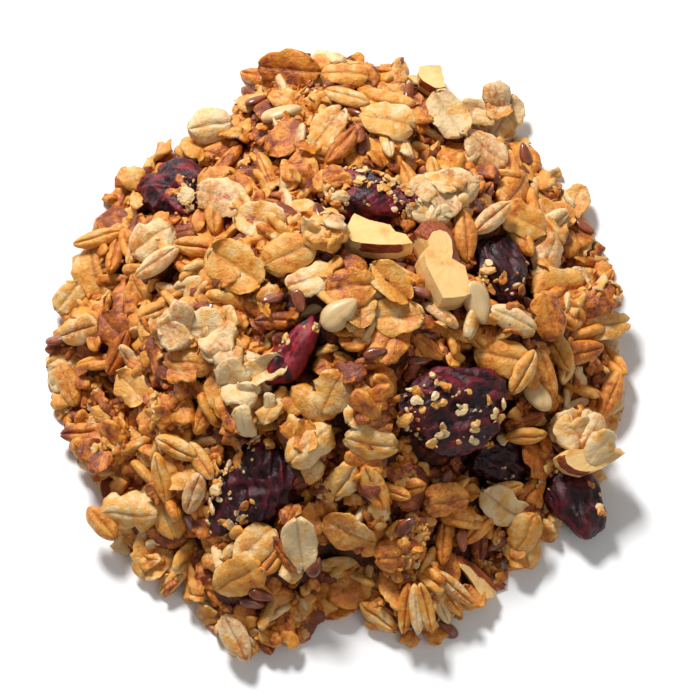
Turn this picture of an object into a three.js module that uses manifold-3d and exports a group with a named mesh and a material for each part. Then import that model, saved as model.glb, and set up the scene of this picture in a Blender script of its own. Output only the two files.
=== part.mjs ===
// A loose heap of baked granola as it lies on a flat surface: rolled oats, sugar-baked nubs, flax seeds and
// sunflower kernels, with dried cranberries and chopped almonds among them.
// Millimetres, +Z up, +Y away from the viewer. The origin is the middle of the heap's box, on the surface it lies on.
//
// The heap is poured: every piece is dropped on a height map and comes to rest on what is already there. The pieces
// that end up hidden only shape the core. The ones that show are fused to it, and the berries and nuts are solids of
// their own, in pockets that fit them.
import * as THREE from "three";
import { mergeVertices } from "three/addons/utils/BufferGeometryUtils.js";
import Module from "manifold-3d";

const { degToRad } = THREE.MathUtils;

// ---------------------------------------------------------------- driving dimensions

const HEAP_HEIGHT = 30; // of the heap's skin, which the topmost pieces stand out of
const DOME_POWER = 1.8; // how flat the top is: 2 is a parabola
// Radius of the heap's foot every 15 degrees, from +X round by +Y.
const FOOT_RADII = [
  48.5, 48.5, 49.5, 49, 48, 52.5, 54, 53, 44.5, 49, 49.5, 47, 50, 50, 48, 52.5, 52.5, 58, 47, 55, 51, 49, 51, 50,
];
const FOOT_INSET = 2.5; // from the foot's edge to the middle of the outermost pieces
const LUMP_HEIGHT = 1.5; // of the skin's broad bumps
const LUMP_PITCH = 21;

const MOUND_DEPTH = 7; // the bare mound that the pieces are poured on lies this far under the skin
const POUR_STEP = 1.5; // the pile rises by this much from one round of pouring to the next
const POUR_DROPS = 900; // pieces dropped in a round, of which those that would stand out too far are left out
const TRIES = 5; // ways of landing, of which the one that comes to rest lowest counts
const PROUD = 2.2; // a piece may stand this far out of the level that is being filled
const MOST_ON_FRUIT = 0.2; // share of a piece that may lie over a berry or nut
const RIM_LEVEL = 2.6; // the least level, so that the foot fills too
const SINK = 0.35; // how far pieces settle into each other
const TOP_SINK = 0.9; // and those that lie on top of all
const FULL_SLOPE = 7; // where the heap is lower than this, pieces lie flatter
const FRUIT_GAP = 0.4; // between two berries or nuts, and from each to the pile under it
const CORNER_REACH = 0.5; // how much further down the corners of a chopped nut reach than a rounded body does
const CELL = 0.4; // of the height map
const MAP_REACH = 66; // half the map's side
const SEED = 20260;

// Sizes of poured pieces: length, then width and thickness as shares of the length, and the steepest lean.
const KINDS = {
  flake: { length: [7.6, 10.2], width: [0.64, 0.82], thickness: [0.15, 0.19], lean: 28 },
  groat: { length: [7.2, 9.6], width: [0.34, 0.46], thickness: [0.2, 0.26], lean: 38 },
  shard: { length: [3.6, 6.0], width: [0.55, 0.85], thickness: [0.2, 0.26], lean: 42 },
  nub: { length: [4.5, 7.5], width: [0.7, 0.95], thickness: [0.5, 0.7], lean: 25 },
  flax: { length: [3.9, 4.6], width: [0.48, 0.54], thickness: [0.28, 0.32], lean: 30 },
  kernel: { length: [7.0, 8.4], width: [0.5, 0.6], thickness: [0.26, 0.3], lean: 30 },
};
// What is poured: the share of pieces up to and with each kind.
const MIX = { flake: 0.5, groat: 0.72, shard: 0.88, nub: 0.955, flax: 0.985, kernel: 1 };

const SHOWN_PIECES = 174; // poured pieces that are fused on, those that show most first
const RIM_WEIGHT = 1.2; // what the foot counts for more in that choice
const CORE_RINGS = 10;
const CORE_SPOKES = 40;
const CORE_SINK = 1.7; // the core lies this far under the mean of what is round it
const CORE_REACH = 3.2; // the radius of that mean
const CORE_EDGE = 0.96; // of the foot's radius
const CORE_FOOT = 0.8; // height of the core's edge
const ROOT_DEPTH = 1.3; // how far the underside of a piece reaches into the core
const POCKET_GAP = 0.45; // between a berry or nut and the heap

// The heap is laid out as one view from above its near side shows it. A place is given by its pixel in that view.
const VIEW = { originX: 340, originY: 350, mmPerPixel: 0.17, elevation: degToRad(72) };

// Berries and nuts: the pixel of the middle, length, width and thickness, the heading of the length in the view, and
// how far the top stands out of the heap's skin.
const BERRIES = {
  cranberry_1: { at: [171, 187], size: [14.5, 12.0, 8], heading: -40, proud: 0.7 },
  cranberry_2: { at: [367, 197], size: [17.5, 9.6, 8], heading: -13, proud: 1.2 },
  cranberry_3: { at: [500, 270], size: [12.8, 10.4, 8], heading: 100, proud: 0.7 },
  cranberry_4: { at: [293, 353], size: [13.8, 6.0, 6], heading: 52, proud: 1.2 },
  cranberry_5: { at: [497, 462], size: [11.0, 9.0, 6], heading: -20, proud: -0.8 },
  cranberry_6: { at: [452, 409], size: [19.0, 15.4, 9], heading: 15, proud: 1.7 },
  cranberry_7: { at: [254, 486], size: [19.5, 13.0, 9], heading: 42, proud: 1.2 },
  cranberry_8: { at: [577, 502], size: [13.0, 9.5, 7], heading: -58, proud: 1.7 },
};
// A nut's outline is in pixels too, anticlockwise in the view. From the first to the last point of its skin, the top
// slopes down to the side.
const NUTS = {
  almond_1: {
    at: [379, 239], size: [11.6, 6.6, 4.5], heading: -18, proud: 0.7,
    outline: [[412, 252], [405, 241], [394, 238], [389, 230], [367, 226], [351, 218], [345, 232], [343, 248], [348, 254], [361, 259], [379, 260], [397, 258]],
    skin: [9, 11], band: 0.5,
  },
  almond_2: {
    at: [438, 267], size: [16.0, 7.4, 6], heading: -68, proud: 1.7,
    outline: [[466, 303], [464, 285], [461, 272], [459, 262], [456, 245], [451, 229], [443, 221], [431, 219], [419, 224], [411, 235], [421, 254], [415, 266], [418, 278], [426, 296], [435, 313], [447, 311], [458, 308]],
    skin: [3, 9], band: 2.2,
  },
  almond_3: {
    at: [588, 461], size: [12.5, 5.2, 4.5], heading: 14, proud: 1.2,
    outline: [[624, 451], [618, 446], [600, 448], [578, 451], [562, 453], [552, 462], [556, 470], [566, 476], [580, 478], [596, 471], [610, 462]],
    skin: [5, 8], band: 0.5,
  },
  almond_4: {
    at: [475, 575], size: [10.8, 3.6, 3.6], heading: -42, proud: 0.9,
    outline: [[498, 590], [493, 581], [483, 571], [473, 563], [458, 556], [450, 555], [455, 565], [463, 573], [471, 583], [478, 593], [486, 598], [494, 596]],
    skin: [0, 5], band: 1.9,
  },
  almond_5: {
    at: [433, 76], size: [5.6, 5.2, 4], heading: -5, proud: 0.9,
    outline: [[447, 88], [446, 76], [443, 61], [432, 61], [420, 63], [418, 72], [420, 82], [428, 88], [435, 92], [441, 90]],
    skin: [6, 8], band: 0.4,
  },
};

// Pieces that lie on top and stand out in the view: kind, pixel of the middle, length, width, heading of the
// length, and how far the face leans towards the viewer. Angles are in degrees.
const LANDMARKS = [
  ["flake", [288, 63], 11.0, 6.6, -6, 38],
  ["flake", [387, 119], 9.8, 7.0, -12, 10],
  ["flake", [345, 70], 8.6, 4.6, -4, 10],
  ["flake", [327, 128], 9.4, 5.4, 55, 15],
  ["flake", [450, 112], 9.6, 6.8, -58, 20],
  ["flake", [506, 112], 8.6, 7.0, 72, 25],
  ["flake", [489, 148], 8.8, 6.4, -35, 20],
  ["flake", [447, 190], 11.4, 7.6, 18, 20],
  ["flake", [222, 198], 9.4, 7.0, -25, 15],
  ["flake", [262, 222], 9.6, 6.6, -15, 15],
  ["flake", [290, 256], 9.6, 6.8, 22, 20],
  ["flake", [237, 270], 11.2, 8.2, -38, 20],
  ["flake", [197, 328], 11.0, 8.0, -8, 25],
  ["flake", [190, 362], 8.8, 5.0, -10, 10],
  ["flake", [150, 240], 8.8, 7.4, 30, 20],
  ["groat", [158, 268], 9.4, 3.8, 30, 10],
  ["groat", [95, 237], 9.0, 3.2, 12, 5],
  ["flake", [65, 297], 6.4, 4.8, 50, 20],
  ["flake", [78, 330], 7.4, 5.0, 8, 25],
  ["groat", [66, 385], 8.2, 4.0, -70, 10],
  ["flake", [351, 288], 8.6, 6.8, 8, 10],
  ["kernel", [340, 314], 7.4, 4.6, 38, 10],
  ["flake", [390, 284], 9.2, 5.6, -42, 10],
  ["kernel", [476, 303], 7.6, 4.6, -72, 15],
  ["groat", [512, 320], 9.2, 4.4, -20, 10],
  ["flake", [523, 220], 9.6, 6.2, -18, 15],
  ["groat", [492, 218], 9.0, 3.8, 45, 10],
  ["flake", [560, 290], 10.2, 8.2, 16, 20],
  ["flake", [548, 325], 8.8, 6.0, -72, 15],
  ["groat", [545, 372], 9.2, 3.4, -70, 10],
  ["groat", [522, 372], 8.6, 3.8, 62, 15],
  ["flake", [606, 326], 9.4, 5.4, 14, 10],
  ["groat", [580, 352], 9.6, 4.0, 20, 15],
  ["groat", [612, 395], 9.4, 4.0, 68, 10],
  ["flake", [572, 429], 8.8, 6.4, -4, 20],
  ["flake", [331, 393], 8.2, 7.2, 62, 15],
  ["flake", [371, 444], 9.2, 5.8, -8, 20],
  ["flake", [345, 478], 7.0, 5.4, 48, 20],
  ["groat", [374, 486], 8.6, 4.2, -62, 15],
  ["flake", [301, 542], 10.2, 6.0, -82, 25],
  ["flake", [349, 530], 9.6, 6.4, -20, 25],
  ["groat", [178, 447], 8.0, 3.6, -28, 15],
  ["groat", [163, 477], 9.2, 3.2, -76, 15],
  ["groat", [195, 492], 7.8, 3.8, 68, 15],
  ["flake", [130, 512], 10.2, 7.2, -6, 25],
  ["groat", [103, 532], 7.4, 4.0, -48, 10],
  ["flake", [240, 575], 9.6, 7.4, 22, 25],
  ["groat", [236, 636], 8.8, 4.6, -62, 10],
  ["flake", [504, 506], 10.2, 6.2, -24, 25],
  ["flake", [524, 532], 7.6, 6.0, 60, 30],
  ["flake", [445, 500], 8.0, 6.4, 10, 25],
  ["flake", [208, 122], 8.0, 6.2, 10, 15],
  ["nub", [326, 233], 7.2, 6.4, 20, 0],
  ["nub", [110, 448], 9.6, 6.0, -15, 0],
  ["nub", [170, 412], 8.0, 6.6, 30, 0],
  ["nub", [602, 298], 8.4, 5.6, 20, 0],
  ["flax", [398, 60], 4.2, 2.2, 55, 20],
  ["flax", [375, 353], 4.2, 2.0, 15, 20],
  ["flax", [315, 565], 4.0, 2.6, 60, 20],
  ["flax", [300, 302], 4.2, 2.4, -70, 20],
  ["flax", [405, 524], 4.4, 2.4, 40, 20],
  ["flax", [262, 594], 4.4, 2.2, -12, 20],
];
// Groats stuck together at the near edge: they fan out from one pixel.
const SPRAY = { at: [411, 552], headings: [-96, -85, -75, -61, -50, -39], reach: 55, length: 8.8, width: 2.7 };

const LOOKS = {
  granola: { color: 0xc98f4a, roughness: 0.62, metalness: 0 },
  cranberry: { color: 0x4a1220, roughness: 0.3, metalness: 0 },
  almond: { color: 0xe9c98c, roughness: 0.5, metalness: 0 },
};

// ---------------------------------------------------------------- chance and the heap's skin

// Mulberry32: the same draws on every run.
function seeded(state) {
  return () => {
    state = (state + 0x6d2b79f5) >>> 0;
    let t = state;
    t = Math.imul(t ^ (t >>> 15), t | 1);
    t ^= t + Math.imul(t ^ (t >>> 7), t | 61);
    return ((t ^ (t >>> 14)) >>> 0) / 4294967296;
  };
}
const random = seeded(SEED);
const between = ([low, high]) => low + (high - low) * random();

function footRadius(x, y) {
  const turns = Math.atan2(y, x) / (2 * Math.PI);
  const place = (turns - Math.floor(turns)) * FOOT_RADII.length;
  const i = Math.floor(place) % FOOT_RADII.length;
  const share = place - Math.floor(place);
  const ease = share * share * (3 - 2 * share);
  return FOOT_RADII[i] * (1 - ease) + FOOT_RADII[(i + 1) % FOOT_RADII.length] * ease;
}

// Height of the heap's skin, which pieces are poured up to.
function skinHeight(x, y) {
  const share = Math.hypot(x, y) / footRadius(x, y);
  if (share >= 1) return 0;
  const k = (2 * Math.PI) / LUMP_PITCH;
  const lumps = Math.sin(k * x + 1.3) * Math.sin(k * y + 0.4) + 0.6 * Math.sin(0.7 * k * (x + y) + 2.1);
  return HEAP_HEIGHT * (1 - share ** DOME_POWER) + LUMP_HEIGHT * lumps * (1 - share);
}

// Slopes along x and y of pieces that lie on the dome, which flatten out to the foot.
function domeSlopes(x, y) {
  const r = Math.max(1e-6, Math.hypot(x, y));
  const foot = footRadius(x, y);
  const fall = (-HEAP_HEIGHT * DOME_POWER * Math.min(1, r / foot) ** (DOME_POWER - 1)) / foot;
  const ease = Math.min(1, skinHeight(x, y) / FULL_SLOPE);
  return [(fall * ease * x) / r, (fall * ease * y) / r];
}

// ---------------------------------------------------------------- pouring

const SIDE = Math.round((2 * MAP_REACH) / CELL) + 1;
const cellOf = (v) => Math.floor((v + MAP_REACH) / CELL + 0.5);
const placeOf = (i) => i * CELL - MAP_REACH;

// Heights of all that lies there, heights without the berries and nuts, and which piece is uppermost.
const top = new Float64Array(SIDE * SIDE);
const bed = new Float64Array(SIDE * SIDE);
const owner = new Int32Array(SIDE * SIDE).fill(-1);
const isFruit = new Uint8Array(SIDE * SIDE);
const pieces = [];

for (let j = 0; j < SIDE; j++) {
  for (let i = 0; i < SIDE; i++) {
    const mound = Math.max(0, skinHeight(placeOf(i), placeOf(j)) - MOUND_DEPTH);
    top[j * SIDE + i] = mound;
    bed[j * SIDE + i] = mound;
  }
}

// A piece lies along the plane whose slopes are p and q: its axes are along its length, across it, and out of its face.
function axesOf({ heading, p, q }) {
  const out = new THREE.Vector3(-p, -q, 1).normalize();
  const along = new THREE.Vector3(Math.cos(heading), Math.sin(heading), p * Math.cos(heading) + q * Math.sin(heading));
  along.normalize();
  return { along, across: new THREE.Vector3().crossVectors(out, along), out };
}

// Visits the cells under a piece with the height of its mid plane over its middle and its half thickness upwards.
function eachCell(piece, visit) {
  const { x, y, p, q, length, width, thickness } = piece;
  const { along, across } = axesOf(piece);
  const steep = Math.sqrt(1 + p * p + q * q);
  const reach = Math.max(length, width) / 2 + CELL;
  for (let j = cellOf(y - reach); j <= cellOf(y + reach); j++) {
    for (let i = cellOf(x - reach); i <= cellOf(x + reach); i++) {
      const dx = placeOf(i) - x;
      const dy = placeOf(j) - y;
      const dz = p * dx + q * dy;
      const u = (dx * along.x + dy * along.y + dz * along.z) / (length / 2);
      const v = (dx * across.x + dy * across.y + dz * across.z) / (width / 2);
      const left = 1 - u * u - v * v;
      if (left > 0) visit(j * SIDE + i, dz, ((thickness * steep) / 2) * Math.sqrt(left));
    }
  }
}

// Lets a piece down until it touches, and then by the little that it settles, but not into the ground.
function rest(piece, sink) {
  let z = 0;
  let cells = 0;
  let onFruit = 0;
  eachCell(piece, (cell, dz, half) => {
    z = Math.max(z, top[cell] - dz + half);
    cells += 1;
    onFruit += isFruit[cell];
  });
  const { along, across, out } = axesOf(piece);
  const reach = Math.hypot(
    (along.z * piece.length) / 2,
    (across.z * piece.width) / 2,
    (out.z * piece.thickness) / 2,
  );
  piece.z = Math.max(z - sink, reach);
  piece.peak = piece.z + reach;
  piece.fruitShare = onFruit / Math.max(1, cells);
}

function settle(piece, maps, fruit = false) {
  const id = pieces.push(piece) - 1;
  eachCell(piece, (cell, dz, half) => {
    const height = piece.z + dz + half;
    for (const map of maps) {
      if (height <= map[cell]) continue;
      map[cell] = height;
      if (map !== top) continue;
      owner[cell] = id;
      isFruit[cell] = fruit ? 1 : 0;
    }
  });
  return piece;
}

function kindByChance() {
  const draw = random();
  return Object.keys(MIX).find((kind) => draw <= MIX[kind]);
}

// Drops one piece somewhere in the foot, and keeps it if it stays near the level that is being filled.
function dropOne(depth) {
  const kind = kindByChance();
  const sizes = KINDS[kind];
  const length = between(sizes.length);
  const width = length * between(sizes.width);
  const thickness = length * between(sizes.thickness);
  const turn = 2 * Math.PI * random();
  const share = Math.sqrt(random());
  let best = null;
  for (let n = 0; n < TRIES; n++) {
    const inset = FOOT_INSET + 0.35 * (length - 8);
    const r = share * (footRadius(Math.cos(turn), Math.sin(turn)) - inset);
    const x = r * Math.cos(turn) + 2 * (random() - 0.5);
    const y = r * Math.sin(turn) + 2 * (random() - 0.5);
    const lean = Math.tan(degToRad(sizes.lean * Math.sqrt(random())));
    const towards = 2 * Math.PI * random();
    const [slopeX, slopeY] = domeSlopes(x, y);
    const p = 0.75 * slopeX + lean * Math.cos(towards);
    const q = 0.75 * slopeY + lean * Math.sin(towards);
    const piece = { kind, x, y, p, q, heading: 2 * Math.PI * random(), length, width, thickness };
    rest(piece, SINK);
    if (!best || piece.peak < best.peak) best = piece;
  }
  const level = Math.max(RIM_LEVEL, skinHeight(best.x, best.y) - depth);
  if (best.peak > level + PROUD || best.fruitShare > MOST_ON_FRUIT) return;
  settle(best, [top, bed]);
}

function pour(fromDepth, toDepth) {
  for (let depth = fromDepth; depth >= toDepth - 1e-9; depth -= POUR_STEP) {
    for (let n = 0; n < POUR_DROPS; n++) dropOne(depth);
  }
}

// ---------------------------------------------------------------- laying pieces where the view shows them

// Where the view's ray through a pixel meets the pile, or the height given.
function spotAt([pixelX, pixelY], height = null) {
  const x = (pixelX - VIEW.originX) * VIEW.mmPerPixel;
  const up = (VIEW.originY - pixelY) * VIEW.mmPerPixel;
  const yAt = (z) => (up - z * Math.cos(VIEW.elevation)) / Math.sin(VIEW.elevation);
  if (height !== null) return [x, yAt(height)];
  let z = HEAP_HEIGHT + 8;
  while (z > 0 && top[cellOf(yAt(z)) * SIDE + cellOf(x)] < z) z -= 0.1;
  return [x, yAt(z)];
}

// Lays a piece on the pile so that its middle shows at the pixel.
function lay(kind, at, [length, width, thickness], heading, lean) {
  let [x, y] = spotAt(at);
  let piece = null;
  for (let n = 0; n < 3; n++) {
    const [slopeX, slopeY] = domeSlopes(x, y);
    const p = 0.5 * slopeX;
    const q = 0.5 * slopeY + Math.tan(degToRad(lean));
    piece = { kind, x, y, p, q, heading: degToRad(heading), length, width, thickness };
    rest(piece, TOP_SINK);
    [x, y] = spotAt(at, piece.z);
  }
  settle(piece, [top, bed]);
}

// Sets a berry or nut into the mound, as far as it stands out, and packs the mound up to its underside.
function embed(kind, { at, size: [length, width, thickness], heading, proud }) {
  let [x, y] = spotAt(at);
  let piece = null;
  for (let n = 0; n < 4; n++) {
    const [slopeX, slopeY] = domeSlopes(x, y);
    const [p, q] = [0.8 * slopeX, 0.8 * slopeY];
    piece = { kind, x, y, p, q, heading: degToRad(heading), length, width, thickness };
    rest(piece, MAP_REACH);
    const height = skinHeight(x, y) + (proud - thickness / 2) * Math.hypot(p, q, 1);
    const corner = kind === "almond" ? CORNER_REACH : 0;
    piece.z = Math.max(piece.z + FRUIT_GAP + corner, height);
    eachCell(piece, (cell, dz, half) => {
      if (isFruit[cell]) piece.z = Math.max(piece.z, top[cell] - dz + half + FRUIT_GAP);
    });
    [x, y] = spotAt(at, piece.z);
  }
  settle(piece, [top], true);
  eachCell(piece, (cell, dz, half) => {
    bed[cell] = Math.max(bed[cell], piece.z + dz - half - FRUIT_GAP);
  });
  return piece;
}

const THICKNESS = { flake: 1.5, groat: 1.9, nub: 3.6, flax: 1.3, kernel: 2.2 };

const fruits = [
  ...Object.entries(BERRIES).map(([name, berry]) => ({ name, piece: embed("cranberry", berry) })),
  ...Object.entries(NUTS).map(([name, nut]) => ({ name, piece: embed("almond", nut) })),
];
pour(MOUND_DEPTH - POUR_STEP, 0);
const firstLandmark = pieces.length;
for (const [kind, at, length, width, heading, lean] of LANDMARKS) {
  lay(kind, at, [length, width, THICKNESS[kind]], heading, lean);
}
for (const heading of SPRAY.headings) {
  const turn = degToRad(heading);
  const at = [SPRAY.at[0] + SPRAY.reach * Math.cos(turn), SPRAY.at[1] - SPRAY.reach * Math.sin(turn)];
  lay("groat", at, [SPRAY.length, SPRAY.width, THICKNESS.groat], heading, 10);
}

// ---------------------------------------------------------------- solids

const wasm = await Module();
wasm.setup();

function solidFrom(points, faces) {
  const vertProperties = new Float32Array(points.flatMap((v) => [v.x, v.y, v.z]));
  return new wasm.Manifold(new wasm.Mesh({ numProp: 3, vertProperties, triVerts: new Uint32Array(faces.flat()) }));
}

function geometryFrom(points, faces) {
  const geometry = new THREE.BufferGeometry().setFromPoints(points);
  geometry.setIndex(faces.flat());
  geometry.computeVertexNormals();
  return geometry;
}

function poseOf(piece) {
  const { along, across, out } = axesOf(piece);
  return new THREE.Matrix4().makeBasis(along, across, out).setPosition(piece.x, piece.y, piece.z);
}

// Takes points from a piece's own axes to the heap's, none of them under the ground.
function placed(piece, points) {
  const pose = poseOf(piece);
  return points.map((point) => {
    const there = point.clone().applyMatrix4(pose);
    there.z = Math.max(0, there.z);
    return there;
  });
}

// Height of the core at a place: the mean of the pile round it, less the sink.
function coreHeight(x, y) {
  const reach = Math.round(CORE_REACH / CELL);
  let sum = 0;
  let count = 0;
  for (let j = -reach; j <= reach; j++) {
    for (let i = -reach; i <= reach; i++) {
      if (i * i + j * j > reach * reach) continue;
      sum += bed[(cellOf(y) + j) * SIDE + cellOf(x) + i];
      count += 1;
    }
  }
  return Math.max(CORE_FOOT, sum / count - CORE_SINK * Math.hypot(1, ...domeSlopes(x, y)));
}

// A flat piece: an oat has two lobes with a crease between them. Its underside reaches down into the core.
function flatSolid(piece, id) {
  const draw = seeded(SEED + 31 * id);
  const oat = piece.kind === "flake" || piece.kind === "groat";
  const creased = oat && id >= firstLandmark;
  const pointed = piece.kind === "kernel" || piece.kind === "flax";
  const count = creased ? 8 : oat ? 7 : 5;
  const half = piece.thickness / 2;
  const bend = half * (2 * draw() - 1);
  const local = [];
  for (let i = 0; i < count; i++) {
    const turn = (2 * Math.PI * i) / count;
    const r = 1 + (oat ? 0.08 : 0.14) * (2 * draw() - 1);
    const narrowing = pointed ? 1 - 0.28 * Math.cos(turn) : 1;
    const u = (piece.length / 2) * Math.cos(turn) * r;
    const v = (piece.width / 2) * Math.sin(turn) * r * narrowing;
    local.push(new THREE.Vector3(u, v, bend * Math.cos(turn) ** 2));
  }
  if (creased) {
    local.push(new THREE.Vector3(0, 0, 0.25 * half));
    local.push(new THREE.Vector3(0, 0.23 * piece.width, half));
    local.push(new THREE.Vector3(0, -0.23 * piece.width, half));
  } else {
    local.push(new THREE.Vector3(0, 0, half));
  }
  local.push(new THREE.Vector3(0, 0, -half));
  const points = placed(piece, local);
  const last = points.length - 1;
  const edge = CORE_EDGE * footRadius(piece.x, piece.y) - ROOT_DEPTH;
  const inwards = Math.min(1, edge / Math.hypot(piece.x, piece.y));
  const root = new THREE.Vector3(inwards * piece.x, inwards * piece.y, 0);
  const plane = piece.z + piece.p * (root.x - piece.x) + piece.q * (root.y - piece.y);
  root.z = Math.min(plane - half, Math.max(CORE_FOOT / 3, coreHeight(root.x, root.y) - ROOT_DEPTH));
  if (root.z > 0) points[last] = root;
  const faces = [];
  const fan = (crown, loop) => loop.forEach((from, i) => faces.push([crown, from, loop[(i + 1) % loop.length]]));
  const rim = Array.from({ length: count }, (_, i) => i);
  fan(last, rim.toReversed());
  if (creased) {
    fan(count + 1, [0, 1, 2, 3, 4, count]);
    fan(count + 2, [4, 5, 6, 7, 0, count]);
  } else {
    fan(count, rim);
  }
  return solidFrom(points, faces);
}

// A round body: the unit sphere's points taken through a shape, as points and faces.
function roundBody(sphere, shape) {
  sphere.deleteAttribute("normal");
  sphere.deleteAttribute("uv");
  const merged = mergeVertices(sphere);
  const position = merged.getAttribute("position");
  const points = Array.from({ length: position.count }, (_, i) =>
    shape(new THREE.Vector3().fromBufferAttribute(position, i)),
  );
  const index = merged.getIndex().array;
  const faces = Array.from({ length: index.length / 3 }, (_, i) => Array.from(index.slice(3 * i, 3 * i + 3)));
  return { points, faces };
}

function nubSolid(piece, id) {
  const draw = seeded(SEED + 31 * id);
  const half = new THREE.Vector3(piece.length / 2, piece.width / 2, piece.thickness / 2);
  const body = roundBody(new THREE.IcosahedronGeometry(1, 0), (d) => d.multiplyScalar(0.9 + 0.25 * draw()).multiply(half));
  return solidFrom(placed(piece, body.points), body.faces);
}

// A dried cranberry: flattened, with a wavy outline and a fold along its length.
function cranberryBody({ length, width, thickness }, id) {
  const draw = seeded(SEED + 977 * id);
  const [a, b, c] = [draw(), draw(), draw()].map((v) => 2 * Math.PI * v);
  return roundBody(new THREE.SphereGeometry(1, 12, 7), (d) => {
    const turn = Math.atan2(d.y, d.x);
    const wave = 1 + 0.08 * Math.sin(3 * turn + a) + 0.05 * Math.sin(5 * turn + b);
    const fold = Math.exp(-(((d.y - 0.2 * Math.sin(2 * d.x + c)) / 0.3) ** 2));
    const height = d.z * (1 - 0.3 * fold * Math.max(0, d.z)) * (1 + 0.08 * Math.sin(6 * d.x + b));
    return new THREE.Vector3((d.x * wave * length) / 2, (d.y * wave * width) / 2, (height * thickness) / 2);
  });
}

// A chopped almond: a slab with its own outline, narrower below, whose top slopes down to the skin on one side.
function almondBody({ thickness, heading }, id, { at, outline, skin, band }) {
  const draw = seeded(SEED + 977 * id);
  const corners = outline.map(([pixelX, pixelY]) => {
    const across = (pixelX - at[0]) * VIEW.mmPerPixel;
    const up = (at[1] - pixelY) * VIEW.mmPerPixel;
    return [across * Math.cos(heading) + up * Math.sin(heading), up * Math.cos(heading) - across * Math.sin(heading)];
  });
  const count = corners.length;
  const half = thickness / 2;
  const level = (scale, height) =>
    corners.map(([u, v], i) => {
      const sloping = height === half && i >= skin[0] && i <= skin[1];
      const inset = sloping ? 1 - band / Math.hypot(u, v) : 1;
      return new THREE.Vector3(u * scale * inset, v * scale * inset, height * (sloping ? 1 : 0.94 + 0.06 * draw()));
    });
  const points = [...level(0.8, -half), ...level(1, -0.55 * half), ...level(1, 0.35 * half), ...level(0.95, half)];
  points.push(new THREE.Vector3(0, 0, -half), new THREE.Vector3(0, 0, half));
  const faces = [];
  for (let i = 0; i < count; i++) {
    const j = (i + 1) % count;
    for (let ring = 0; ring < 3 * count; ring += count) {
      faces.push([ring + i, ring + j, ring + count + j], [ring + i, ring + count + j, ring + count + i]);
    }
    faces.push([4 * count, j, i], [4 * count + 1, 3 * count + i, 3 * count + j]);
  }
  return { points, faces };
}

// The core: a grid of rings and spokes over the bed, with a flat underside.
function coreSolid() {
  const spot = (ring, spoke) => {
    const turn = (2 * Math.PI * spoke) / CORE_SPOKES;
    const r = (CORE_EDGE * footRadius(Math.cos(turn), Math.sin(turn)) * ring) / CORE_RINGS;
    return [r * Math.cos(turn), r * Math.sin(turn)];
  };
  const points = [new THREE.Vector3(0, 0, coreHeight(0, 0)), new THREE.Vector3(0, 0, 0)];
  for (let ring = 1; ring <= CORE_RINGS; ring++) {
    for (let spoke = 0; spoke < CORE_SPOKES; spoke++) {
      const [x, y] = spot(ring, spoke);
      points.push(new THREE.Vector3(x, y, ring === CORE_RINGS ? CORE_FOOT : coreHeight(x, y)));
    }
  }
  for (let spoke = 0; spoke < CORE_SPOKES; spoke++) {
    const [x, y] = spot(CORE_RINGS, spoke);
    points.push(new THREE.Vector3(x, y, 0));
  }
  const at = (ring, spoke) => 2 + (ring - 1) * CORE_SPOKES + (spoke % CORE_SPOKES);
  const faces = [];
  for (let spoke = 0; spoke < CORE_SPOKES; spoke++) {
    faces.push([0, at(1, spoke), at(1, spoke + 1)]);
    for (let ring = 1; ring <= CORE_RINGS; ring++) {
      const [a, b] = [at(ring, spoke), at(ring, spoke + 1)];
      const [c, d] = [at(ring + 1, spoke), at(ring + 1, spoke + 1)];
      faces.push([a, c, d], [a, d, b]);
    }
    faces.push([1, at(CORE_RINGS + 1, spoke + 1), at(CORE_RINGS + 1, spoke)]);
  }
  return solidFrom(points, faces);
}

// ---------------------------------------------------------------- the heap and its fruit

// How much of each poured piece shows, with more weight to the foot, where pieces make the outline.
const shown = new Map();
for (const id of owner) {
  if (id < fruits.length || id >= firstLandmark) continue;
  const { x, y } = pieces[id];
  shown.set(id, (shown.get(id) ?? 0) + 1 + RIM_WEIGHT * (Math.hypot(x, y) / footRadius(x, y)) ** 3);
}
const poured = [...shown].sort((one, other) => other[1] - one[1]).slice(0, SHOWN_PIECES);
const fused = [...poured.map(([id]) => id), ...pieces.keys().filter((id) => id >= firstLandmark)];
const solids = fused.map((id) => (pieces[id].kind === "nub" ? nubSolid : flatSolid)(pieces[id], id));
let heap = wasm.Manifold.union([coreSolid(), ...solids]);

const group = new THREE.Group();
const materials = Object.fromEntries(
  Object.entries(LOOKS).map(([name, look]) => [name, new THREE.MeshStandardMaterial(look)]),
);
fruits.forEach(({ name, piece }, id) => {
  const body = piece.kind === "cranberry" ? cranberryBody(piece, id) : almondBody(piece, id, NUTS[name]);
  const grown = body.points.map((point) => point.clone().setLength(point.length() + POCKET_GAP));
  heap = heap.subtract(solidFrom(placed(piece, grown), body.faces));
  const mesh = new THREE.Mesh(geometryFrom(body.points, body.faces), materials[piece.kind]);
  mesh.name = name;
  mesh.applyMatrix4(poseOf(piece));
  group.add(mesh);
});

// Only the heap's main body counts: the cuts may leave loose scraps, and fusing may seal small hollows.
const whole = heap.decompose().reduce((one, other) => (other.volume() > one.volume() ? other : one));
const { vertProperties, triVerts } = whole.getMesh();
const heapGeometry = new THREE.BufferGeometry();
heapGeometry.setAttribute("position", new THREE.BufferAttribute(vertProperties, 3));
heapGeometry.setIndex(new THREE.BufferAttribute(triVerts, 1));
heapGeometry.computeVertexNormals();
const heapMesh = new THREE.Mesh(heapGeometry, materials.granola);
heapMesh.name = "granola_heap";
group.add(heapMesh);

const box = new THREE.Box3().setFromObject(group, true);
const middle = box.getCenter(new THREE.Vector3());
group.position.set(-middle.x, -middle.y, -box.min.z);

export default group;
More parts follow.
